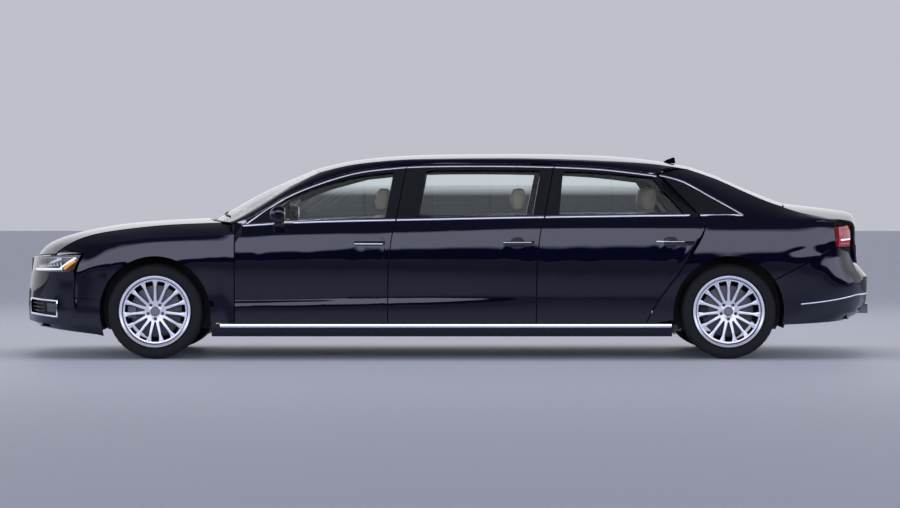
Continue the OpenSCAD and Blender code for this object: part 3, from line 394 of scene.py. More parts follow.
# Lines of the body, in metres: place along the car, height
XF = -2.150
XR = 2.070
SEAMS = (XF + 0.585, XF + 1.711, XF + 2.804, XR - 0.588)
BELT_LINE = ((XF + 0.64, 0.979), (XF + 0.974, 1.0), (XF + 1.363, 1.013), (XF + 1.95, 1.025),
             (XR - 1.39, 1.042), (XR + 0.103, 1.058), (XR + 0.5, 1.045), (XR + 0.9, 0.985))
TOP_LINE = ((XF + 0.64, 0.992), (XF + 0.74, 1.064), (XF + 0.945, 1.199), (XF + 1.201, 1.308),
            (XF + 1.46, 1.385), (XF + 1.67, 1.416), (XF + 1.948, 1.436), (XR - 1.68, 1.44),
            (XR - 1.236, 1.431), (XR - 0.94, 1.416), (XR - 0.659, 1.385), (XR - 0.503, 1.362),
            (XR - 0.348, 1.323), (XR - 0.281, 1.292), (XR - 0.141, 1.211), (XR - 0.037, 1.152),
            (XR + 0.122, 1.06))


def along(table, x):
    """Height of a body line at x, on a smooth curve through its places."""
    i = 0
    while i < len(table) - 2 and x > table[i + 1][0]:
        i += 1

    def rate(k):
        a, b = table[max(k - 1, 0)], table[min(k + 1, len(table) - 1)]
        return (b[1] - a[1]) / (b[0] - a[0])

    span = table[i + 1][0] - table[i][0]
    u = min(1.0, max(0.0, (x - table[i][0]) / span))
    p, q = u ** 3, u * u
    return (table[i][1] * (2 * p - 3 * q + 1) + rate(i) * span * (p - 2 * q + u)
            + table[i + 1][1] * (3 * q - 2 * p) + rate(i + 1) * span * (p - q))


SKIN = tree_of(*PANELS)


def skin(x, z, side):
    """Place and normal of the body's outer side at x and z."""
    s = SIGN[side]
    place, normal, _, _ = SKIN.ray_cast(Vector((x, 3.0 * s, z)), Vector((0, -s, 0)))
    if place is None:
        place, normal = Vector((x, 0.9 * s, z)), Vector((0, s, 0))
    return place, normal if normal.y * s > 0 else -normal


def lay_grid(name, columns, rows, place, facing):
    """Sheet whose points come from place(u, v), turned to face the given way."""
    bpy.ops.object.select_all(action="DESELECT")
    bpy.ops.mesh.primitive_grid_add(x_subdivisions=columns, y_subdivisions=rows, size=1.0)
    piece = bpy.context.object
    piece.name = name
    piece.location = (0, 0, 0)
    for vertex in piece.data.vertices:
        vertex.co = place(vertex.co.x + 0.5, vertex.co.y + 0.5)
    piece.data.update()
    total = sum((p.normal * p.area for p in piece.data.polygons), Vector())
    if total.dot(Vector(facing)) < 0:
        open_edit(piece)
        bpy.ops.mesh.flip_normals()
        close_edit()
    return piece


def thicken(piece, thickness, bevel=0.0):
    add_modifier(piece, "SOLIDIFY", thickness=thickness, offset=-1.0)
    if bevel:
        add_modifier(piece, "BEVEL", width=bevel, segments=2, limit_method="ANGLE")
    apply_modifiers(piece)
    smooth(piece)
    return piece


def sheet(name, columns, rows, place, facing, thickness, material, slot=None, bevel=0.0):
    """Thin formed sheet on the car's body, with its thickness behind the points."""
    piece = thicken(lay_grid(name, columns, rows, place, facing), thickness, bevel)
    return finish_piece(piece, material, "car_body", slot)


def lay_strip(name, path, width, rise, facing, sink=0.002):
    """Crowned strip along a path of (place, normal)."""
    last = len(path) - 1

    def place(u, v):
        k = min(int(u * last + 1e-6), last - 1)
        f = u * last - k
        here = path[k][0].lerp(path[k + 1][0], f)
        out = path[k][1].lerp(path[k + 1][1], f).normalized()
        way = (path[k + 1][0] - path[max(k - (f < 0.5), 0)][0]).normalized()
        across = way.cross(out).normalized()
        crown = 1.0 - abs(2 * v - 1) ** 3
        return here + across * (v - 0.5) * width + out * (crown * (rise + sink) - sink)

    return thicken(lay_grid(name, last * 2, 6, place, facing), 0.0015)


def strip(name, points, width, rise, material, side, body="car_body", sink=0.002):
    """Trim strip along (x, z) points on the body's side."""
    path = [skin(x, z, side) for x, z in points]
    piece = lay_strip(name, path, width, rise, (0, SIGN[side], 0), sink)
    return finish_piece(piece, material, body)


# Wraps round the two ends, in metres: height, setback from the end; height, inset of the side
NOSE_LINE = ((0.15, 0.33), (0.2, 0.16), (0.222, 0.095), (0.245, 0.03), (0.275, 0.004),
             (0.33, 0.004), (0.405, 0.0), (0.537, 0.008), (0.66, 0.032), (0.73, 0.044),
             (0.78, 0.07), (0.84, 0.13))
TAIL_LINE = ((0.2, 0.52), (0.237, 0.33), (0.282, 0.14), (0.344, 0.032), (0.421, 0.008),
             (0.511, 0.0), (0.6, 0.003), (0.63, 0.014), (0.66, 0.066), (0.69, 0.084),
             (0.778, 0.1), (0.889, 0.086), (1.017, 0.104), (1.09, 0.13))
INSET = ((0.165, 0.078), (0.205, 0.046), (0.248, 0.029), (0.414, 0.02), (0.44, 0.022),
         (0.47, 0.02), (0.69, 0.0), (0.85, 0.012), (0.91, 0.023), (0.96, 0.045))
# Centre of each end's wrap, its length, the power of its curve and its direction along the car
WRAPS = {"front": (-2.400, 0.780, 2.8, -1, NOSE_LINE), "rear": (2.420, 0.760, 3.2, 1, TAIL_LINE)}
BODY_HALF = 0.948


def end_point(end, degrees, z, out=0.0):
    """Place on the wrap of an end: degrees from -90 at the left side to 90 at the right."""
    centre, length, power, way, line = WRAPS[end]
    long = length - along(line, z) + out
    wide = BODY_HALF - along(INSET, z) + out
    a = math.radians(degrees)
    ahead = max(0.0001, math.cos(a)) ** (2 / power)
    return Vector((centre + way * long * ahead, wide * signed_power(math.sin(a), 2 / power), z))


def end_skin(end, degrees, z):
    """Place and normal of the body's skin on an end."""
    ideal = end_point(end, degrees, z)
    way = end_point(end, degrees + 0.6, z) - end_point(end, degrees - 0.6, z)
    normal = way.cross(Vector((0, 0, 1))).normalized()
    if normal.dot(ideal - Vector((WRAPS[end][0], 0, z))) < 0:
        normal = -normal
    hit, _, _, _ = SKIN.ray_cast(ideal + normal * 0.06, -normal, 0.1)
    return (hit if hit is not None else ideal), normal


def end_strip(name, end, points, width, rise, material, slot=None):
    path = [end_skin(end, degrees, z) for degrees, z in points]
    piece = lay_strip(name, path, width, rise, (WRAPS[end][3], 0, 0))
    return finish_piece(piece, material, "car_body", slot)


# Bright strips round the windows
BELT_WIDTH = 0.021
UPPER_WIDTH = 0.019
TRIM_RISE = 0.004
# Columns: front and rear of each door's belt strip, then of its upper strip
DOOR_SPANS = {"front": (SEAMS[0] + 0.062, SEAMS[1] + 0.056, SEAMS[0] + 0.085, SEAMS[1] + 0.128),
              "middle": (SEAMS[1] + 0.068, SEAMS[2] + 0.056, SEAMS[1] + 0.144, SEAMS[2] + 0.128),
              "rear": (SEAMS[2] + 0.068, SEAMS[3] + 0.358, SEAMS[2] + 0.144, SEAMS[3] + 0.066)}
QUARTER_TIP = XR + 0.105


def window_trim(side):
    def belt(name, x0, x1, count, body):
        points = [(x, along(BELT_LINE, x) + 0.004) for x in spread(x0, x1, count)]
        strip(f"{name}_{side}", points, BELT_WIDTH, TRIM_RISE, CHROME, side, body)

    def upper(name, x0, x1, count, drop, body):
        points = [(x, along(TOP_LINE, x) - drop) for x in spread(x0, x1, count)]
        strip(f"{name}_{side}", points, UPPER_WIDTH, TRIM_RISE, CHROME, side, body)

    for row, (belt_front, belt_rear, top_front, top_rear) in DOOR_SPANS.items():
        door = f"door_{row}_{side}"
        belt(f"BeltStrip_{row}", belt_front, belt_rear, 16, door)
        upper(f"UpperStrip_{row}", top_front, top_rear, 22, 0.019, door)
    belt("QuarterBelt", SEAMS[3] + 0.378, QUARTER_TIP, 8, "car_body")
    upper("QuarterUpper", SEAMS[3] + 0.09, QUARTER_TIP, 18, 0.008, "car_body")


def quarter_pane(side):
    """Dark pane between the two bright strips behind the rear door."""
    tip = QUARTER_TIP - 0.017
    belt_front, top_front = SEAMS[3] + 0.376, SEAMS[3] + 0.1

    def place(u, v):
        xb = belt_front + (tip - belt_front) * u
        xt = top_front + (tip - top_front) * u
        x = xb + (xt - xb) * v
        zb = along(BELT_LINE, xb) + 0.008
        z = zb + (max(zb, along(TOP_LINE, xt) - 0.012) - zb) * v
        here, out = skin(x, z, side)
        low = skin(xb, along(BELT_LINE, xb) - 0.006, side)[0].y
        level = low + (skin(xt, along(TOP_LINE, xt) + 0.006, side)[0].y - low) * v
        if abs(level) > abs(here.y):
            here.y = level
            out = Vector((0, SIGN[side], 0))
        return here + out * 0.0014

    sheet(f"QuarterPane_{side}", 40, 16, place, (0, SIGN[side], 0), 0.0012, BLACK_GLOSS)


def door_zones(row, side):
    """Black window frame, cream card inside with a dark lower part."""
    s = SIGN[side]

    def card(c, n):
        return n.y * s < -0.5 and abs(c.y) < 0.955 and c.z <= along(BELT_LINE, c.x)

    zoned(DOORS[row, side], (LEATHER, card),
          (CARPET, lambda c, n: n.y * s < -0.5 and c.z < 0.46),
          (BLACK_GLOSS, lambda c, n: c.z > along(BELT_LINE, c.x) - 0.006))


# Each handle: front and rear end, height of the grip
HANDLES = {"front": (-0.692, -0.464, 0.843), "middle": (0.401, 0.629, 0.856), "rear": (1.524, 1.751, 0.862)}
# Above and below the grip, where the door's plain side starts again
GRIP_REACH = 0.062


def handle(row, side):
    """Dark cup behind the grip, a black sheet that is painted shade in the grip's recess; the black grip and
    its bright insert.
    """
    body = f"door_{row}_{side}"
    x0, x1, z = HANDLES[row]
    middle = (x0 + x1) / 2

    def cup(u, v):
        a = 2 * math.pi * u
        x = middle + 0.062 * v * signed_power(math.cos(a), 0.7)
        dz = 0.044 * v * signed_power(math.sin(a), 0.8)
        low, n = skin(x, z - GRIP_REACH, side)
        high, _ = skin(x, z + GRIP_REACH, side)
        here = low.lerp(high, (dz + GRIP_REACH) / (2 * GRIP_REACH))
        return Vector((x, here.y, z + dz)) + n * (0.0012 - 0.0008 * v ** 6)

    # Painted shade: a black sheet just off the door's skin stands for the shade behind the grip
    piece = lay_grid(f"HandleRecessShade_{row}_{side}", 40, 6, cup, (0, SIGN[side], 0))
    merge_doubles(piece)
    thicken(piece, 0.001)
    finish_piece(piece, BLACK_TRIM, body)

    def on_grip(c, n):
        if not (x0 - 0.006 < c.x < x1 + 0.006 and abs(c.z - z) < 0.035):
            return False
        below, above = (abs(skin(c.x, z + dz, side)[0].y) for dz in (-GRIP_REACH, GRIP_REACH))
        return abs(c.y) > (below + above) / 2 + 0.004

    zoned(DOORS[row, side], (BLACK_GLOSS, on_grip))
    points = [(x, z + 0.005) for x in spread(x0 + 0.012, x1 - 0.012, 12)]
    strip(f"HandleInsert_{row}_{side}", points, 0.012, 0.0015, CHROME, side, body, 0.001)


def fuel_flap():
    """Shut line of a filler flap on the right rear quarter."""
    points = []
    for degrees in spread(0, 360, 49):
        a = math.radians(degrees)
        dx = 0.085 * signed_power(math.cos(a), 0.45)
        dz = 0.075 * signed_power(math.sin(a), 0.45)
        points.append((2.36 + dx, 0.835 + dz))
    strip("FuelFlapLine", points, 0.005, 0.0004, BLACK_TRIM, "right", sink=0.001)


for side in SIDES:
    window_trim(side)
    quarter_pane(side)
    for row in ROWS:
        door_zones(row, side)
        handle(row, side)
fuel_flap()


# Wheels, tyres and arches

AXLE_Z = 0.350
WHEEL_Y = 0.818
TYRE_HALF = 0.1275
TYRE_STEPS = 168
ARCH_RADIUS = 0.424
ARCH_INNER = 0.49


def corner_place(end, side):
    return Vector((XF if end == "front" else XR, SIGN[side] * WHEEL_Y, AXLE_Z))


def ring(name, steps, profile, centre, side):
    """Turned shape about the axle: profile holds (radius, distance out from the middle)."""
    s = SIGN[side]
    count = len(profile) - 1

    def place(u, v):
        radius, out = profile[min(count, round(v * count))]
        a = 2 * math.pi * u
        return centre + Vector((radius * math.cos(a), s * out, radius * math.sin(a)))

    piece = lay_grid(name, steps, count, place, (0, s, 0))
    merge_doubles(piece, True)
    return piece


def tread_profile():
    h = TYRE_HALF
    half = [(0.245, h - 0.0205), (0.262, h - 0.0095), (0.272, h - 0.006), (0.276, h - 0.0005),
            (0.284, h + 0.0005), (0.288, h - 0.0015), (0.300, h), (0.312, h - 0.001),
            (0.322, h - 0.004), (0.332, h - 0.010), (0.340, h - 0.018), (0.3455, h - 0.029),
            (0.3475, h - 0.036)]
    for groove in (0.064, 0.023):
        half += [(0.3492, groove + 0.0065), (0.342, groove + 0.0045), (0.342, groove - 0.0045),
                 (0.3494, groove - 0.0065)]
    return half + [(r, -y) for r, y in reversed(half)] + [half[0]]


def tyre(end, side):
    centre = corner_place(end, side)
    piece = ring(f"Tyre_{end}_{side}", TYRE_STEPS, tread_profile(), centre, side)
    open_edit(piece)
    bpy.ops.mesh.select_mode(type="FACE")
    bpy.ops.mesh.select_all(action="DESELECT")
    shape = bmesh.from_edit_mesh(piece.data)
    for face in shape.faces:
        c = face.calc_center_median() - centre
        radius = math.hypot(c.x, c.z)
        step = int((math.atan2(c.z, c.x) / (2 * math.pi) + 1.0) * TYRE_STEPS) % TYRE_STEPS
        shoulder = 0.068 < abs(c.y) < 0.106 and radius > 0.337
        rib = 0.028 < abs(c.y) < 0.058 and radius > 0.345
        face.select_set((shoulder and step % 4 == 0) or (rib and step % 4 == (1 if c.y > 0 else 3)))
    bmesh.update_edit_mesh(piece.data)
    bpy.ops.mesh.extrude_region_shrink_fatten(TRANSFORM_OT_shrink_fatten={"value": -0.005})
    close_edit()
    smooth(piece, 28.0)
    finish_piece(piece, RUBBER, f"wheel_{end}_{side}", replaced=(f"tyre_{end}_{side}",))


HUB_CAP = [(0.0, 0.097), (0.02, 0.0968), (0.028, 0.0955), (0.031, 0.093), (0.033, 0.0935),
           (0.035, 0.092), (0.036, 0.086), (0.0, 0.086)]
WHEEL_BOLT = [(0.0, 0.016), (0.005, 0.016), (0.0055, 0.013), (0.009, 0.0125), (0.0095, 0.004),
              (0.0125, 0.001), (0.0125, -0.002), (0.0, -0.002)]
BOLT_CIRCLE = 0.056


def wheel(end, side):
    body = f"wheel_{end}_{side}"
    s = SIGN[side]
    centre = corner_place(end, side)

    def inside(c, n):
        """Back of the wheel, and the inner side of the rim behind the spokes, which get the dark disc metal
        as painted shade deep in the wheel.
        """
        p = c - centre
        radius = math.hypot(p.x, p.z)
        barrel = 0.2 < radius < 0.25 and (p.x * n.x + p.z * n.z) / radius < -0.75
        return p.y * s < 0.045 or barrel

    face = rounded_copy(body, f"WheelFace_{end}_{side}", 0.0016, 2, 35.0, WHEEL, body, 30.0)
    # Painted shade: the back of the wheel and the rim's inner side behind the spokes take the dark disc
    # metal
    zoned(face, (DISC, inside))
    cap = ring(f"HubCap_{end}_{side}", 48, HUB_CAP, centre, side)
    smooth(cap, 30.0)
    finish_piece(cap, CAST, body, "wheel_silver")
    for k in range(5):
        a = math.radians(54 + 72 * k)
        place = centre + Vector((BOLT_CIRCLE * math.cos(a), s * 0.064, BOLT_CIRCLE * math.sin(a)))
        finish_piece(ring(f"WheelBolt_{end}_{side}_{k}", 6, WHEEL_BOLT, place, side), DISC, body)


def arch_liner(end, side):
    centre = corner_place(end, side)
    # Angles from the front over the top to the rear
    low, high = (-17.0, 203.0) if end == "front" else (-24.0, 197.0)

    def place(u, v):
        a = math.radians(low + (high - low) * u)
        dx, dz = -ARCH_RADIUS * math.cos(a), ARCH_RADIUS * math.sin(a)
        here, _ = skin(centre.x + dx * 1.02, AXLE_Z + dz * 1.02, side)
        outer = abs(here.y) - 0.016
        return Vector((centre.x + dx, SIGN[side] * (ARCH_INNER + (outer - ARCH_INNER) * v), AXLE_Z + dz))

    sheet(f"ArchLiner_{end}_{side}", 40, 6, place, (0, 0, -1), 0.002, BLACK_TRIM)


def arch_wall(end, side):
    """Dark inner wall of a wheelhouse, clear of the steered tyre."""
    s = SIGN[side]
    x = corner_place(end, side).x
    hole = 0.12

    def place(u, v):
        a = math.radians(-24.0 + 227.0 * u)
        r = hole + (ARCH_RADIUS - hole) * v
        return Vector((x - r * math.cos(a), s * (ARCH_INNER + 0.002), max(0.2, AXLE_Z + r * math.sin(a))))

    sheet(f"ArchWall_{end}_{side}", 32, 5, place, (0, s, 0), 0.002, BLACK_TRIM)


def undertray(name, x0, x1, z0, z1):
    half = 0.72
    sheet(name, 8, 8, lambda u, v: Vector((x0 + (x1 - x0) * u, half * (2 * v - 1), z0 + (z1 - z0) * u)),
          (0, 0, -1), 0.004, BLACK_TRIM)


undertray("FrontUndertray", -3.02, -2.58, 0.235, 0.196)
undertray("RearUndertray", 2.53, 2.98, 0.27, 0.287)
for end in ("front", "rear"):
    for side in SIDES:
        arch_wall(end, side)
        tyre(end, side)
        wheel(end, side)
        arch_liner(end, side)


def cowl():
    """Scuttle panel between the bonnet and the windscreen, with two wipers on the glass."""
    half, glass_half = 0.53, 0.768

    def edge(y, first, last):
        return XF + first + last * abs(y / glass_half) ** 2.6

    def place(u, v):
        y = half * (2 * v - 1)
        w = y / glass_half
        x0, x1 = edge(y, 0.334, 0.133), edge(y, 0.404, 0.153)
        z0, z1 = 1.001 - 0.026 * w * w, 1.0165 - 0.016 * w * w
        return Vector((x0 + (x1 - x0) * u, y, z0 + (z1 - z0) * u))

    sheet("CowlPanel", 4, 24, place, (0, 0, 1), 0.004, BLACK_TRIM)
    pane = tree_of(nodes["windscreen"])
    for k, (y0, y1) in enumerate(((-0.60, -0.03), (0.02, 0.56))):
        path = []
        for y in spread(y0, y1, 16):
            lift = 0.045 + 0.03 * (y - y0) / (y1 - y0)
            above = Vector((edge(y, 0.404, 0.153) + lift, y, 3.0))
            here, out, _, _ = pane.ray_cast(above, Vector((0, 0, -1)))
            if here is not None:
                path.append((here, out if out.z > 0 else -out))
        finish_piece(lay_strip(f"Wiper_{k}", path, 0.014, 0.012, (0, 0, 1)), BLACK_TRIM)


cowl()


# Lamps, intakes, grille and plates

def lamp_place(side, u, v, out):
    """Place in a headlamp: u from its inner end to its rear end, v from its lower edge up."""
    degrees = (21.7 + 47.1 * u) * (1 - v) + (21.7 + 51.5 * u) * v
    low = 0.6425
    z = low + (0.7475 + 0.018 * u - low) * v
    return end_point("front", SIGN[side] * degrees, z, out)


# Strips inside a headlamp: first and last (u, v), points, depth, width, rise, material
LAMP_STRIPS = {"Running": ((0.06, 0.1218), (0.8, 0.144), 14, -0.022, 0.012, 0.004, LED),
               "Rise": ((0.76, 0.2), (0.94, 0.84), 8, -0.022, 0.014, 0.004, LED),
               "Brow": ((0.06, 0.86), (0.92, 0.86), 14, -0.022, 0.009, 0.003, CHROME),
               "Wing": ((0.52, 0.46), (0.72, 0.82), 6, -0.026, 0.026, 0.004, CHROME),
               "Marker": ((0.84, 0.16), (0.95, 0.66), 8, -0.018, 0.02, 0.004, AMBER)}


def lamp_strip(kind, side):
    (u0, v0), (u1, v1), count, depth, width, rise, material = LAMP_STRIPS[kind]
    path = []
    for u, v in zip(spread(u0, u1, count), spread(v0, v1, count)):
        here = lamp_place(side, u, v, depth)
        path.append((here, (lamp_place(side, u, v, depth + 0.01) - here).normalized()))
    piece = lay_strip(f"Lamp{kind}_{side}", path, width, rise, (-1, SIGN[side], 0))
    finish_piece(piece, material)


def headlamp(side):
    facing = (-1, SIGN[side], 0)

    def bowl(u, v):
        edge = min(u / 0.05, (1 - u) / 0.05, v / 0.12, (1 - v) / 0.12, 1.0)
        return lamp_place(side, u, v, -0.006 - 0.036 * edge * edge * (3 - 2 * edge))

    def vanes(u, v):
        return lamp_place(side, 0.1 + 0.66 * u, 0.2 + 0.16 * u + 0.2 * v, -0.034 + 0.014 * v)

    piece = sheet(f"LampBowl_{side}", 90, 36, bowl, facing, 0.002, BLACK_GLOSS)
    if side == "left":
        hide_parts("headlamps")
    sheet(f"LampLens_{side}", 48, 16, lambda u, v: lamp_place(side, u, v, -0.001), facing, 0.0025,
          LAMP_GLASS, "lamp_clear")
    piece = sheet(f"LampVanes_{side}", 60, 8, vanes, facing, 0.002, WHEEL, "bright_trim")
    piece.data.materials.append(BLACK_GLOSS)
    for face in piece.data.polygons:
        face.material_index = 1 if face.index % 6 < 3 else 0
    for kind in LAMP_STRIPS:
        lamp_strip(kind, side)
    for k, u in enumerate((0.2, 0.36)):
        bpy.ops.object.select_all(action="DESELECT")
        bpy.ops.mesh.primitive_uv_sphere_add(segments=28, ring_count=16, radius=0.019,
                                             location=lamp_place(side, u, 0.6, -0.034))
        dome = bpy.context.object
        dome.name = f"LampProjector_{side}_{k}"
        bpy.ops.object.transform_apply(location=True)
        smooth(dome, 60.0)
        finish_piece(dome, BLACK_GLOSS)


# Bars of a tail lamp: height, width, material, slot
TAIL_BARS = ((0.874, 0.013, LED, "lamp_clear"), (0.846, 0.004, CHROME, "lamp_red"),
             (0.952, 0.005, RED_LAMP, "lamp_red"))


def tail_lamp_bars(side):
    for k, (z, width, material, slot) in enumerate(TAIL_BARS):
        points = [(SIGN[side] * d, z + 0.006 * (54 - d) / 14) for d in spread(53.6, 40.6, 10)]
        end_strip(f"TailBar_{side}_{k}", "rear", points, width, 0.002, material, slot)


def intake_edge(degrees, t):
    """Height in the lower front: t is 0 at its lower edge and 1 under the headlamp."""
    base = 0.232 - 0.066 * (min(86.0, abs(degrees)) / 86.0) ** 2
    return base + (0.6414 - base) * t


def intake(side):
    """Bright frame round the lower opening, dark back, slats and a fog lamp."""
    s = SIGN[side]
    facing = (-1, s, 0)
    inner, outer, low, high = 27.2, 58.8, 0.243, 0.507
    frame_points = [(s * d, intake_edge(d, low)) for d in spread(inner, outer, 14)]
    frame_points += [(s * outer, intake_edge(outer, t)) for t in spread(low, high, 6)[1:]]
    frame_points += [(s * d, intake_edge(d, high)) for d in spread(outer, inner, 14)[1:]]
    frame_points += [(s * inner, intake_edge(inner, t)) for t in spread(high, low, 6)[1:]]
    end_strip(f"IntakeFrame_{side}", "front", frame_points, 0.016, 0.004, CHROME)

    def inside(degrees, t, out):
        return end_point("front", s * degrees, intake_edge(degrees, t), out)

    sheet(f"IntakeBack_{side}", 24, 6, lambda u, v: inside(25.0 + 36.0 * u, 0.2 + 0.35 * v, -0.05),
          facing, 0.003, BLACK_TRIM)
    for k, t in enumerate((0.31, 0.375, 0.44)):
        sheet(f"IntakeSlat_{side}_{k}", 24, 3, lambda u, v: inside(28.0 + 18.0 * u, t, -0.012 - 0.032 * v),
              (0, 0, 1), 0.004, BLACK_GLOSS, bevel=0.001)
    sheet(f"FogLamp_{side}", 12, 8, lambda u, v: inside(48.0 + 8.0 * u, 0.3 + 0.15 * v, -0.02),
          facing, 0.012, DISC, "lamp_clear", 0.003)


def block(name, low, high, bevel, material, body="car_body", slot=None):
    """Box between two corners with rounded edges."""
    bpy.ops.object.select_all(action="DESELECT")
    bpy.ops.mesh.primitive_cube_add(size=1.0)
    piece = bpy.context.object
    piece.name = name
    for vertex in piece.data.vertices:
        share = vertex.co + Vector((0.5, 0.5, 0.5))
        vertex.co = Vector((low[i] + (high[i] - low[i]) * share[i] for i in range(3)))
    add_modifier(piece, "BEVEL", width=bevel, segments=3)
    apply_modifiers(piece)
    smooth(piece)
    return finish_piece(piece, material, body, slot)


PLATE_HALF = 0.26
HOLDER_HALF = 0.268


def grille_back():
    """Dark mesh behind the slats, and the blank plate in front of them."""
    low = 0.27

    def mesh(u, v):
        z = low + 0.46 * v
        half = 0.39 - 0.05 * (z - 0.62) / 0.11
        if z < 0.62:
            half = 0.32 + 0.07 * min(1.0, (z - low) / 0.14)
        return Vector((-3.084, half * (2 * u - 1), z))

    sheet("GrilleMesh", 40, 24, mesh, (-1, 0, 0), 0.003, BLACK_TRIM)
    block("FrontPlate", (-3.146, -PLATE_HALF, 0.355), (-3.132, PLATE_HALF, 0.465), 0.003, PLATE)
    block("FrontPlateHolder", (-3.140, -HOLDER_HALF, 0.347), (-3.127, HOLDER_HALF, 0.473), 0.004, BLACK_TRIM)


def rear_plate():
    x = max(end_skin("rear", 0.0, z)[0].x for z in (0.715, 0.825))
    block("RearPlateHolder", (x - 0.012, -HOLDER_HALF, 0.712), (x + 0.008, HOLDER_HALF, 0.828), 0.004,
          BLACK_TRIM, "boot_lid")
    block("RearPlate", (x - 0.004, -PLATE_HALF, 0.72), (x + 0.012, PLATE_HALF, 0.82), 0.003,
          PLATE, "boot_lid")


def pipe_tips():
    tip_x = 2.955
    piece = rounded_copy("exhaust", "ExhaustPipes", 0.006, 2, 35.0, STEEL)
    zoned(piece, (CHROME, lambda c, n: c.x > tip_x), (DISC, lambda c, n: c.x > tip_x and abs(n.y) > 0.93))


def mirror_glass(side):
    profile = [(0.0, 0.0), (0.03, 0.0), (0.043, -0.001), (0.044, -0.003)]
    piece = ring(f"MirrorGlass_{side}", 40, profile, Vector(), side)
    for vertex in piece.data.vertices:
        p = vertex.co.copy()
        vertex.co = Vector((-1.1862 - abs(p.y), SIGN[side] * 1.028 + p.x * 1.02, 1.064 + p.z))
    merge_doubles(piece, True)
    finish_piece(piece, CHROME, f"door_front_{side}")


def tail_strip():
    side_end, low, climb = 84, 0.405, 0.064
    points = []
    for d in spread(-side_end, side_end, 49):
        points.append((d, low + climb * min(1.0, max(0.0, (side_end - abs(d)) / 40))))
    end_strip("TailStrip", "rear", points, 0.014, 0.004, CHROME)


for side in SIDES:
    headlamp(side)
    tail_lamp_bars(side)
    intake(side)
    mirror_glass(side)
tail_strip()
grille_back()
rear_plate()
pipe_tips()


# Cabin linings, door cards, dash, engine bay and boot

def flat_sheet(name, columns, rows, x0, length, half, z, thickness, material, climb=0.0, bevel=0.0):
    """Level sheet across the car, facing up."""
    sheet(name, columns, rows, lambda u, v: Vector((x0 + length * u, half * (2 * v - 1), z + climb * u)),
          (0, 0, 1), thickness, material, bevel=bevel)


def roof_lining():
    def under_roof(u, v):
        x, y = -0.92 + 2.52 * u, 0.54 * (2 * v - 1)
        place, _, _, _ = SKIN.ray_cast(Vector((x, y, 3.0)), Vector((0, 0, -1)))
        return Vector((x, y, (place.z if place is not None else 1.4) - 0.034))

    sheet("RoofLining", 30, 16, under_roof, (0, 0, -1), 0.004, LINING)


def card_strip(kind, row, side, x0, x1, z, width, rise, material, bow):
    """Strip or bulge along the inner side of a door."""
    s = SIGN[side]
    path = []
    for x in spread(x0, x1, 14):
        arc = bow * math.sin(math.pi * (x - x0) / (x1 - x0))
        here, _, _, _ = SKIN.ray_cast(Vector((x, 0.45 * s, z + arc)), Vector((0, s, 0)))
        if here is not None and abs(here.y) > 0.7:
            path.append((here, Vector((0, -s, 0))))
    if len(path) > 4:
        piece = lay_strip(f"{kind}_{row}_{side}", path, width, rise, (0, -s, 0))
        finish_piece(piece, material, f"door_{row}_{side}")


def door_card(k, row, side):
    x0 = SEAMS[k] + 0.17
    x1 = SEAMS[k + 1] - 0.08
    for kind, first, last, z, width, rise, material, bow in (
            ("CardWood", x0, x1 - 0.04, 0.865, 0.042, 0.004, WOOD, 0.01),
            ("CardLine", x0, x1 - 0.04, 0.838, 0.007, 0.004, CHROME, 0.01),
            ("Armrest", x0 + 0.12, x1 - 0.1, 0.66, 0.075, 0.045, DARK_LEATHER, 0.012),
            ("CardPull", x0 + 0.2, x0 + 0.42, 0.755, 0.022, 0.022, CHROME, 0.01),
            ("CardPocket", x0 + 0.04, x1 - 0.22, 0.42, 0.1, 0.025, DARK_LEATHER, 0.0)):
        card_strip(kind, row, side, first, last, z, width, rise, material, bow)


def dash_fittings():
    """Hood over the dials, screen, vents and a wood band; the steering wheel smoothed."""
    block("DialHood", (-1.37, -0.53, 0.925), (-1.235, -0.21, 0.992), 0.02, DARK_LEATHER)
    block("DialGlass", (-1.246, -0.50, 0.935), (-1.232, -0.24, 0.982), 0.005, BLACK_GLOSS)
    block("CentreScreen", (-1.262, -0.125, 0.90), (-1.238, 0.125, 1.0), 0.006, BLACK_GLOSS)
    block("DashWood", (-1.24, -0.66, 0.79), (-1.2105, 0.66, 0.825), 0.004, WOOD)
    block("DashLine", (-1.24, -0.66, 0.829), (-1.211, 0.66, 0.834), 0.0015, CHROME)
    for k, y in enumerate((-0.62, -0.17, 0.17, 0.62)):
        block(f"DashVent_{k}", (-1.25, y - 0.055, 0.85), (-1.211, y + 0.055, 0.892), 0.006, BLACK_GLOSS)
        for j in range(3):
            z = 0.858 + 0.011 * j
            block(f"VentSlat_{k}_{j}", (-1.22, y - 0.05, z), (-1.2085, y + 0.05, z + 0.003), 0.001, CHROME)
    rounded_copy("steering_wheel", "SteeringRim", 0.004, 2, 40.0, DARK_LEATHER, soft=45.0)


def engine_dress():
    """Rounded block with a ribbed cover, battery box and bottle."""
    rounded_copy("engine", "EngineBlock", 0.014, 3, 40.0, CAST)
    block("EngineCover", (-2.43, -0.25, 0.872), (-1.91, 0.25, 0.902), 0.012, BLACK_TRIM)
    for k in range(6):
        y = -0.2 + 0.08 * k
        block(f"CoverRib_{k}", (-2.40, y - 0.008, 0.898), (-1.94, y + 0.008, 0.9075), 0.003,
              DISC, slot="cast")
    block("BatteryBox", (-1.86, 0.27, 0.62), (-1.66, 0.46, 0.80), 0.008, BLACK_TRIM)
    block("WasherBottle", (-2.62, -0.46, 0.50), (-2.52, -0.30, 0.74), 0.02, PLATE, slot="lamp_clear")


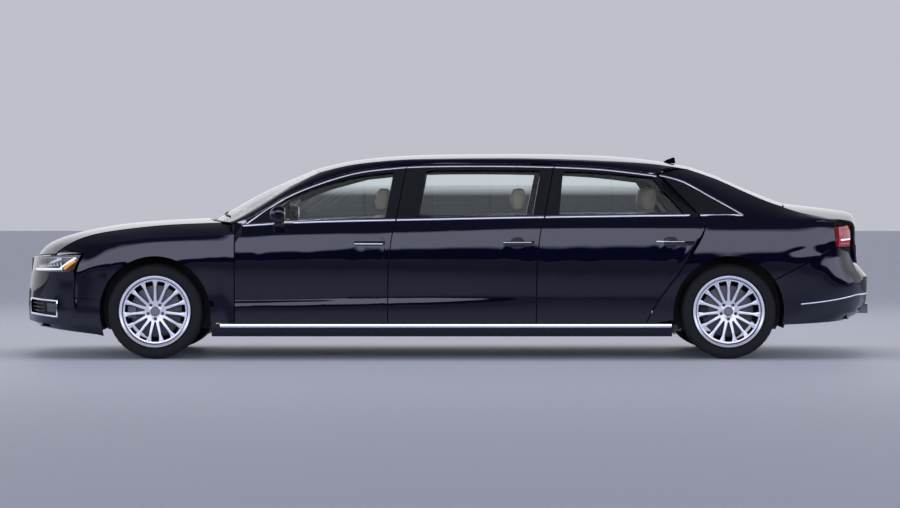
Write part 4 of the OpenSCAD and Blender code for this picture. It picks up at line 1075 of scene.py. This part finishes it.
roof_lining()
flat_sheet("CabinCarpet", 20, 8, -1.56, 3.2, 0.70, 0.2535, 0.003, CARPET)
flat_sheet("ParcelShelf", 10, 10, 1.62, 0.46, 0.6, 0.985, 0.012, DARK_LEATHER, 0.012, 0.004)
for side in SIDES:
    for k, row in enumerate(ROWS):
        door_card(k, row, side)
dash_fittings()
engine_dress()
flat_sheet("BootCarpet", 10, 8, 1.70, 1.22, 0.5, 0.5225, 0.0025, CARPET)


# Seats: padded cushion, back and headrest, made once and copied to the six places

SEAT_Y = 0.370
SEAT_ROWS = {"front": SEAMS[0] + 0.410, "middle": SEAMS[1] + 0.310, "rear": SEAMS[2] + 0.200}
PAD_VOXEL = 0.011
PAD_PRESSURE = 4.0
PAD_FRAMES = 20


def pad_block(name, half_width, front_line, rear_line):
    """Block between two side outlines, each a table of (height share, x, z)."""
    bpy.ops.object.select_all(action="DESELECT")
    bpy.ops.mesh.primitive_cube_add(size=1.0)
    piece = bpy.context.object
    piece.name = name
    bpy.ops.object.mode_set(mode="EDIT")
    bpy.ops.mesh.subdivide(number_cuts=23)
    close_edit()
    fronts = [(h, x) for h, x, _ in front_line], [(h, z) for h, _, z in front_line]
    rears = [(h, x) for h, x, _ in rear_line], [(h, z) for h, _, z in rear_line]
    for vertex in piece.data.vertices:
        t, w, h = vertex.co.x + 0.5, 2 * vertex.co.y, vertex.co.z + 0.5
        x = along(fronts[0], h) * (1 - t) + along(rears[0], h) * t
        z = along(fronts[1], h) * (1 - t) + along(rears[1], h) * t
        pinch = 1.0 - 0.05 * abs(2 * h - 1) ** 6 - 0.05 * abs(2 * t - 1) ** 6
        vertex.co = Vector((x, w * half_width * pinch, z))
    only(piece)
    piece.data.remesh_voxel_size = PAD_VOXEL
    bpy.ops.object.voxel_remesh()
    add_modifier(piece, "SMOOTH", factor=0.5, iterations=4)
    apply_modifiers(piece)
    return piece


def inflate(piece, cap):
    """Swells a pad with cloth under pressure, each point moving at most the cap."""
    start = [v.co.copy() for v in piece.data.vertices]
    cloth = piece.modifiers.new("Cloth", "CLOTH")
    cloth.settings.use_pressure = True
    cloth.settings.uniform_pressure_force = PAD_PRESSURE
    cloth.settings.effector_weights.gravity = 0.0
    cloth.point_cache.frame_start = 1
    cloth.point_cache.frame_end = PAD_FRAMES
    for number in range(1, PAD_FRAMES + 1):
        scene.frame_set(number)
    apply_modifiers(piece)
    for vertex, before in zip(piece.data.vertices, start):
        move = vertex.co - before
        if move.length > cap:
            vertex.co = before + move * (cap / move.length)
    scene.frame_set(1)


def sew(piece, depth, width, distance):
    """Sinks sewn channels: distance(point) is how far a point is from the nearest seam."""
    normals = [v.normal.copy() for v in piece.data.vertices]
    for vertex, normal in zip(piece.data.vertices, normals):
        vertex.co -= normal * depth * math.exp(-(distance(vertex.co) / width) ** 2)


def flutes(p):
    """Distance from the nearest lengthwise seam of a cushion or back."""
    across = min(abs(p.y - c) for c in (-0.15, -0.09, -0.03, 0.03, 0.09, 0.15))
    return across if abs(p.y) < 0.17 else abs(abs(p.y) - 0.175)


def seat_pads():
    cushion = pad_block("PadCushion", 0.252, ((0.0, 0.02, 0.43), (0.5, 0.012, 0.50), (1.0, 0.03, 0.555)),
                        ((0.0, 0.50, 0.42), (0.5, 0.50, 0.46), (1.0, 0.505, 0.515)))
    back = pad_block("PadBack", 0.245,
                     ((0.0, 0.512, 0.50), (0.3, 0.535, 0.66), (0.7, 0.572, 0.90), (1.0, 0.622, 1.07)),
                     ((0.0, 0.640, 0.48), (0.3, 0.655, 0.66), (0.7, 0.682, 0.90), (1.0, 0.692, 1.06)))
    rest = pad_block("PadHead", 0.120, ((0.0, 0.622, 1.10), (0.5, 0.624, 1.18), (1.0, 0.645, 1.255)),
                     ((0.0, 0.695, 1.10), (0.5, 0.706, 1.18), (1.0, 0.704, 1.25)))
    for piece, cap in ((cushion, 0.018), (back, 0.016), (rest, 0.01)):
        inflate(piece, cap)
    for piece in (cushion, back, rest):
        add_modifier(piece, "SUBSURF", levels=1, render_levels=1)
        apply_modifiers(piece)
    sew(cushion, 0.006, 0.007, lambda p: flutes(p) if 0.07 < p.x < 0.44 else min(abs(p.x - 0.06), 0.2))
    sew(back, 0.006, 0.007, lambda p: flutes(p) if 0.62 < p.z < 0.98 else min(abs(p.z - 1.0), 0.2))
    sew(rest, 0.004, 0.005, lambda p: abs(abs(p.y) - 0.095))
    for piece in (cushion, back, rest):
        add_modifier(piece, "DECIMATE", ratio=0.35)
        apply_modifiers(piece)
        smooth(piece, 60.0)
    return {"Cushion": cushion, "Back": back, "Headrest": rest}


def seat_base(name, x, y):
    """Plinth under a cushion, with a skirt that draws in towards the floor."""
    corner = 0.18

    def place(u, v):
        a = 2 * math.pi * u
        wide = 0.235 * (1 - 0.12 * v) * signed_power(math.sin(a), corner)
        deep = 0.285 * (1 - 0.10 * v) * signed_power(math.cos(a), corner)
        return Vector((x + 0.34 + deep, y + wide, 0.44 - 0.188 * v))

    piece = lay_grid(name, 48, 5, place, (0, 0, 1))
    open_edit(piece)
    bpy.ops.mesh.remove_doubles(threshold=0.00001)
    bpy.ops.mesh.select_mode(type="EDGE")
    bpy.ops.mesh.select_all(action="DESELECT")
    bpy.ops.mesh.select_non_manifold()
    bpy.ops.mesh.edge_face_add()
    bpy.ops.mesh.select_all(action="SELECT")
    bpy.ops.mesh.normals_make_consistent(inside=False)
    close_edit()
    smooth(piece, 40.0)
    finish_piece(piece, DARK_LEATHER)


def seats():
    pads = seat_pads()
    replaced = ("seats",)
    for row, x in SEAT_ROWS.items():
        for side in SIDES:
            shift = Vector((x, SIGN[side] * SEAT_Y, 0))
            for kind, pad in pads.items():
                piece = bpy.data.objects.new(f"Chair{kind}_{row}_{side}", pad.data.copy())
                scene.collection.objects.link(piece)
                for vertex in piece.data.vertices:
                    vertex.co += shift
                finish_piece(piece, LEATHER, replaced=replaced)
                replaced = ()
            seat_base(f"ChairBase_{row}_{side}", shift.x, shift.y)
    for pad in pads.values():
        bpy.data.objects.remove(pad)


seats()


# Stage, lights and world

def sky_side(tree, split, strength, shades):
    """Colour by height above the horizon, from a table of (height, colour)."""
    ramp = add_node(tree, "ValToRGB")
    link(tree, split, "Z", ramp, "Fac")
    stops = ramp.color_ramp.elements
    stops[0].position, stops[0].color = shades[0]
    stops[1].position, stops[1].color = shades[-1]
    for at, shade in shades[1:-1]:
        stops.new(at).color = shade
    scale = add_node(tree, "VectorMath", "SCALE", scale=strength)
    link(tree, ramp, "Color", scale, 0)
    return scale.outputs[0]


def plain_colour(tree, colour):
    node = add_node(tree, "RGB")
    node.outputs[0].default_value = colour
    return node.outputs[0]


def mixed_colour(tree, factor, out, first, second):
    mix = add_node(tree, "MixRGB")
    link(tree, factor, out, mix, "Fac")
    tree.links.new(first, mix.inputs["Color1"])
    tree.links.new(second, mix.inputs["Color2"])
    return mix.outputs["Color"]


def studio_world():
    """Dark horizon under a bright sky for reflections, a plain pale backdrop for the eye."""
    world = bpy.data.worlds.new("Studio")
    scene.world = world
    world.use_nodes = True
    tree = world.node_tree
    place = add_node(tree, "TexCoord")
    split = add_node(tree, "SeparateXYZ")
    link(tree, place, "Generated", split, 0)
    dark = (0.004, 0.004, 0.009, 1)
    dim = (0.03, 0.03, 0.04, 1)
    soft = (0.74, 0.76, 1.0, 1)
    white = (0.95, 0.96, 1.02, 1)
    pale = (0.8, 0.81, 0.86, 1)
    near = sky_side(tree, split, 3.2, ((0.0, dark), (0.078, dark), (0.1, soft), (0.36, soft), (0.46, dim),
                                       (1.0, dim)))
    far = sky_side(tree, split, 1.0, ((0.0, white), (0.34, white), (0.6, (0.22, 0.23, 0.27, 1)),
                                      (1.0, (0.12, 0.12, 0.15, 1))))
    turn = add_node(tree, "MapRange", from_min=-0.15, from_max=0.2)
    link(tree, split, "Y", turn, "Value")
    sky = mixed_colour(tree, turn, "Result", near, far)
    through = sky_side(tree, split, 1.0, ((0.0, (0.05, 0.052, 0.06, 1)), (0.0008, pale), (1.0, pale)))
    path = add_node(tree, "LightPath")
    sky = mixed_colour(tree, path, "Is Transmission Ray", sky, through)
    sky = mixed_colour(tree, path, "Is Camera Ray", sky, plain_colour(tree, (0.52, 0.53, 0.59, 1)))
    tree.links.new(sky, tree.nodes["Background"].inputs["Color"])


def floor_material():
    """Pale floor that the paint mirrors brighter beside the car than far from it: painted shade, seen only
    in reflections, darkens it away from the car.
    """
    material, tree, shader = new_material("PaleFloor")
    set_inputs(shader, roughness=0.6)
    place = add_node(tree, "TexCoord")
    split = add_node(tree, "SeparateXYZ")
    link(tree, place, "Object", split, 0)
    aside = add_node(tree, "Math", "ABSOLUTE")
    link(tree, split, "Y", aside, 0)
    # Painted shade: in reflections the floor's colour falls from full to 0.03 between 1.8 m and 6.8 m out
    # from the car's middle
    painted_floor_shade = add_node(tree, "MapRange", from_min=1.8, from_max=6.8, to_min=1.0, to_max=0.03)
    link(tree, aside, 0, painted_floor_shade, "Value")
    mirrored = add_node(tree, "VectorMath", "SCALE")
    mirrored.inputs[0].default_value = (0.74, 0.8, 1.0)
    link(tree, painted_floor_shade, "Result", mirrored, "Scale")
    path = add_node(tree, "LightPath")
    pale = plain_colour(tree, (0.53, 0.545, 0.6, 1))
    shade = mixed_colour(tree, path, "Is Glossy Ray", pale, mirrored.outputs[0])
    tree.links.new(shade, shader.inputs["Base Color"])
    return material


def stage():
    bpy.ops.object.select_all(action="DESELECT")
    bpy.ops.mesh.primitive_plane_add(size=160.0, location=(0, 0, 0))
    floor = bpy.context.object
    floor.name = "Floor"
    floor.data.materials.append(floor_material())
    for name, place, aim, size, power in (
            ("Overhead", (0, 0, 7.0), (0, 0, 0), (9.0, 4.0), 260.0),
            ("FarSoft", (0, 8.0, 6.0), (0, 0, 0.8), (12.0, 3.0), 160.0)):
        data = bpy.data.lights.new(name, "AREA")
        data.shape = "RECTANGLE"
        data.size, data.size_y = size
        data.energy = power
        lamp = bpy.data.objects.new(name, data)
        scene.collection.objects.link(lamp)
        lamp.visible_glossy = False
        lamp.location = place
        lamp.rotation_euler = (Vector(aim) - Vector(place)).to_track_quat("-Z", "Y").to_euler()
    studio_world()


stage()
